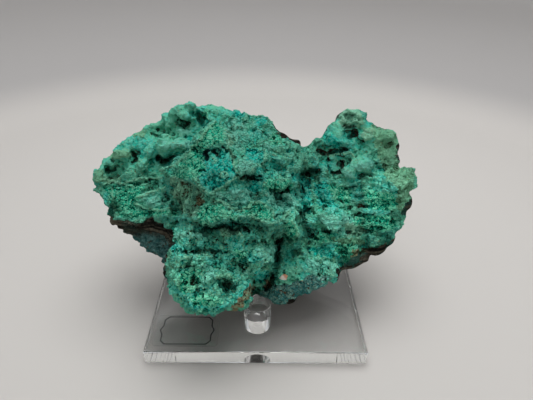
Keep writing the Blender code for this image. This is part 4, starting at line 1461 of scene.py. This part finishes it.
def build_floor(settings):
    """A round floor that bends up into a wall, drawn inwards from its rim."""
    (radius, height), *rings = sweep_rings()
    deselect_all()
    bpy.ops.mesh.primitive_circle_add(vertices=SWEEP_SIDES, radius=radius)
    floor = bpy.context.object
    floor.name = floor.data.name = "studio_sweep"
    bpy.ops.object.mode_set(mode="EDIT")
    bpy.ops.mesh.select_all(action="SELECT")
    bpy.ops.transform.translate(value=(0, 0, height))
    for inner, lower in rings:
        bpy.ops.mesh.extrude_edges_move(TRANSFORM_OT_translate={"value": (0, 0, lower - height)})
        bpy.ops.transform.resize(value=(inner / radius, inner / radius, 1), center_override=(0, 0, lower))
        radius, height = inner, lower
    bpy.ops.mesh.edge_face_add()
    bpy.ops.mesh.select_all(action="SELECT")
    bpy.ops.mesh.normals_make_consistent(inside=True)
    bpy.ops.object.mode_set(mode="OBJECT")
    bpy.ops.object.shade_smooth()
    material, make, shader, place = new_material("studio_paper")
    shader.inputs["Roughness"].default_value = 0.9
    # The paper turns from the floor colour to the darker wall colour as it rises: painted shade on the upright
    # wall, which gets less of the overhead light.
    up = make.add("ShaderNodeSeparateXYZ", None, Vector=place).outputs["Z"]
    rise = make.ramp(up, 0.0, 0.3 * SWEEP_BEND / MM)
    paper = blend_colour(make, tuple(settings.floor_colour), tuple(settings.shaded_wall_colour), rise)
    make.feed(shader.inputs["Base Color"], paper)
    floor.data.materials.append(material)


def add_area(name, place, size, power):
    data = bpy.data.lights.new(name, "AREA")
    data.shape = "DISK"
    data.size = size
    data.energy = power
    light = bpy.data.objects.new(name, data)
    bpy.context.scene.collection.objects.link(light)
    light.location = place
    light.rotation_euler = (Vector(LIT_PLACE) - Vector(place)).to_track_quat("-Z", "Y").to_euler()


def build_lights(settings):
    world = bpy.data.worlds.new("studio")
    bpy.context.scene.world = world
    world.use_nodes = True
    background = world.node_tree.nodes["Background"]
    background.inputs["Color"].default_value = (0.9, 0.92, 0.95, 1.0)
    background.inputs["Strength"].default_value = settings.sky_strength
    scene = bpy.context.scene
    scene.view_settings.view_transform = "Standard"
    # Light that runs along the inside of the plate is turned back many times before it leaves.
    for limit in ("max_bounces", "transmission_bounces", "glossy_bounces"):
        setattr(scene.cycles, limit, CLEAR_BOUNCES)
    add_area("overhead", KEY_PLACE, KEY_SIZE, settings.key_power)
    add_area("front", FILL_PLACE, FILL_SIZE, settings.fill_power)


def build_camera():
    data = bpy.data.cameras.new("camera")
    data.sensor_fit = "HORIZONTAL"
    data.sensor_width = SENSOR
    data.lens = CAMERA_LENS
    data.clip_start = 0.005
    camera = bpy.data.objects.new("camera", data)
    bpy.context.scene.collection.objects.link(camera)
    camera.matrix_world = camera_matrix()
    bpy.context.scene.camera = camera


# ---------------------------------------------------------------------------------------------
# Operators, panel and registration


class SPECIMEN_OT_stone(bpy.types.Operator):
    """Grow the stone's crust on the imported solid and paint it"""

    bl_idname = "specimen.stone"
    bl_label = "Build Stone"

    def execute(self, context):
        build_stone(context.scene.specimen_stone)
        return {"FINISHED"}


class SPECIMEN_OT_grain(bpy.types.Operator):
    """Set the pale crystal in the stone's crust"""

    bl_idname = "specimen.grain"
    bl_label = "Set Pale Crystal"

    def execute(self, context):
        if "stone" not in bpy.data.objects:
            raise RuntimeError("the pale crystal needs the stone, which is not built")
        build_chalky_grain()
        return {"FINISHED"}


class SPECIMEN_OT_stand(bpy.types.Operator):
    """Finish the clear rod, plate and label"""

    bl_idname = "specimen.stand"
    bl_label = "Finish Stand"

    def execute(self, context):
        build_clear_stand()
        finish_label()
        return {"FINISHED"}


class SPECIMEN_OT_stage(bpy.types.Operator):
    """Set up the floor, the soft light and the camera"""

    bl_idname = "specimen.stage"
    bl_label = "Set Stage"

    def execute(self, context):
        settings = context.scene.specimen_stage
        build_floor(settings)
        build_lights(settings)
        build_camera()
        return {"FINISHED"}


class SPECIMEN_PT_panel(bpy.types.Panel):
    bl_label = "Specimen"
    bl_idname = "SPECIMEN_PT_panel"
    bl_space_type = "VIEW_3D"
    bl_region_type = "UI"
    bl_category = "Specimen"

    def draw(self, context):
        layout = self.layout
        scene = context.scene
        for group, operator in (
            (scene.specimen_stone, "specimen.stone"),
            (None, "specimen.grain"),
            (None, "specimen.stand"),
            (scene.specimen_stage, "specimen.stage"),
        ):
            box = layout.box()
            if group:
                for name in group.__annotations__:
                    box.prop(group, name)
            box.operator(operator)


CLASSES = (
    StoneSettings, StageSettings,
    SPECIMEN_OT_stone, SPECIMEN_OT_grain, SPECIMEN_OT_stand, SPECIMEN_OT_stage, SPECIMEN_PT_panel,
)


def register():
    for cls in CLASSES:
        bpy.utils.register_class(cls)
    bpy.types.Scene.specimen_stone = bpy.props.PointerProperty(type=StoneSettings)
    bpy.types.Scene.specimen_stage = bpy.props.PointerProperty(type=StageSettings)


def unregister():
    del bpy.types.Scene.specimen_stage
    del bpy.types.Scene.specimen_stone
    for cls in reversed(CLASSES):
        bpy.utils.unregister_class(cls)


def main():
    register()
    bpy.ops.specimen.stage()
    bpy.ops.specimen.stand()
    bpy.ops.specimen.stone()
    bpy.ops.specimen.grain()


if __name__ == "__main__":
    main()
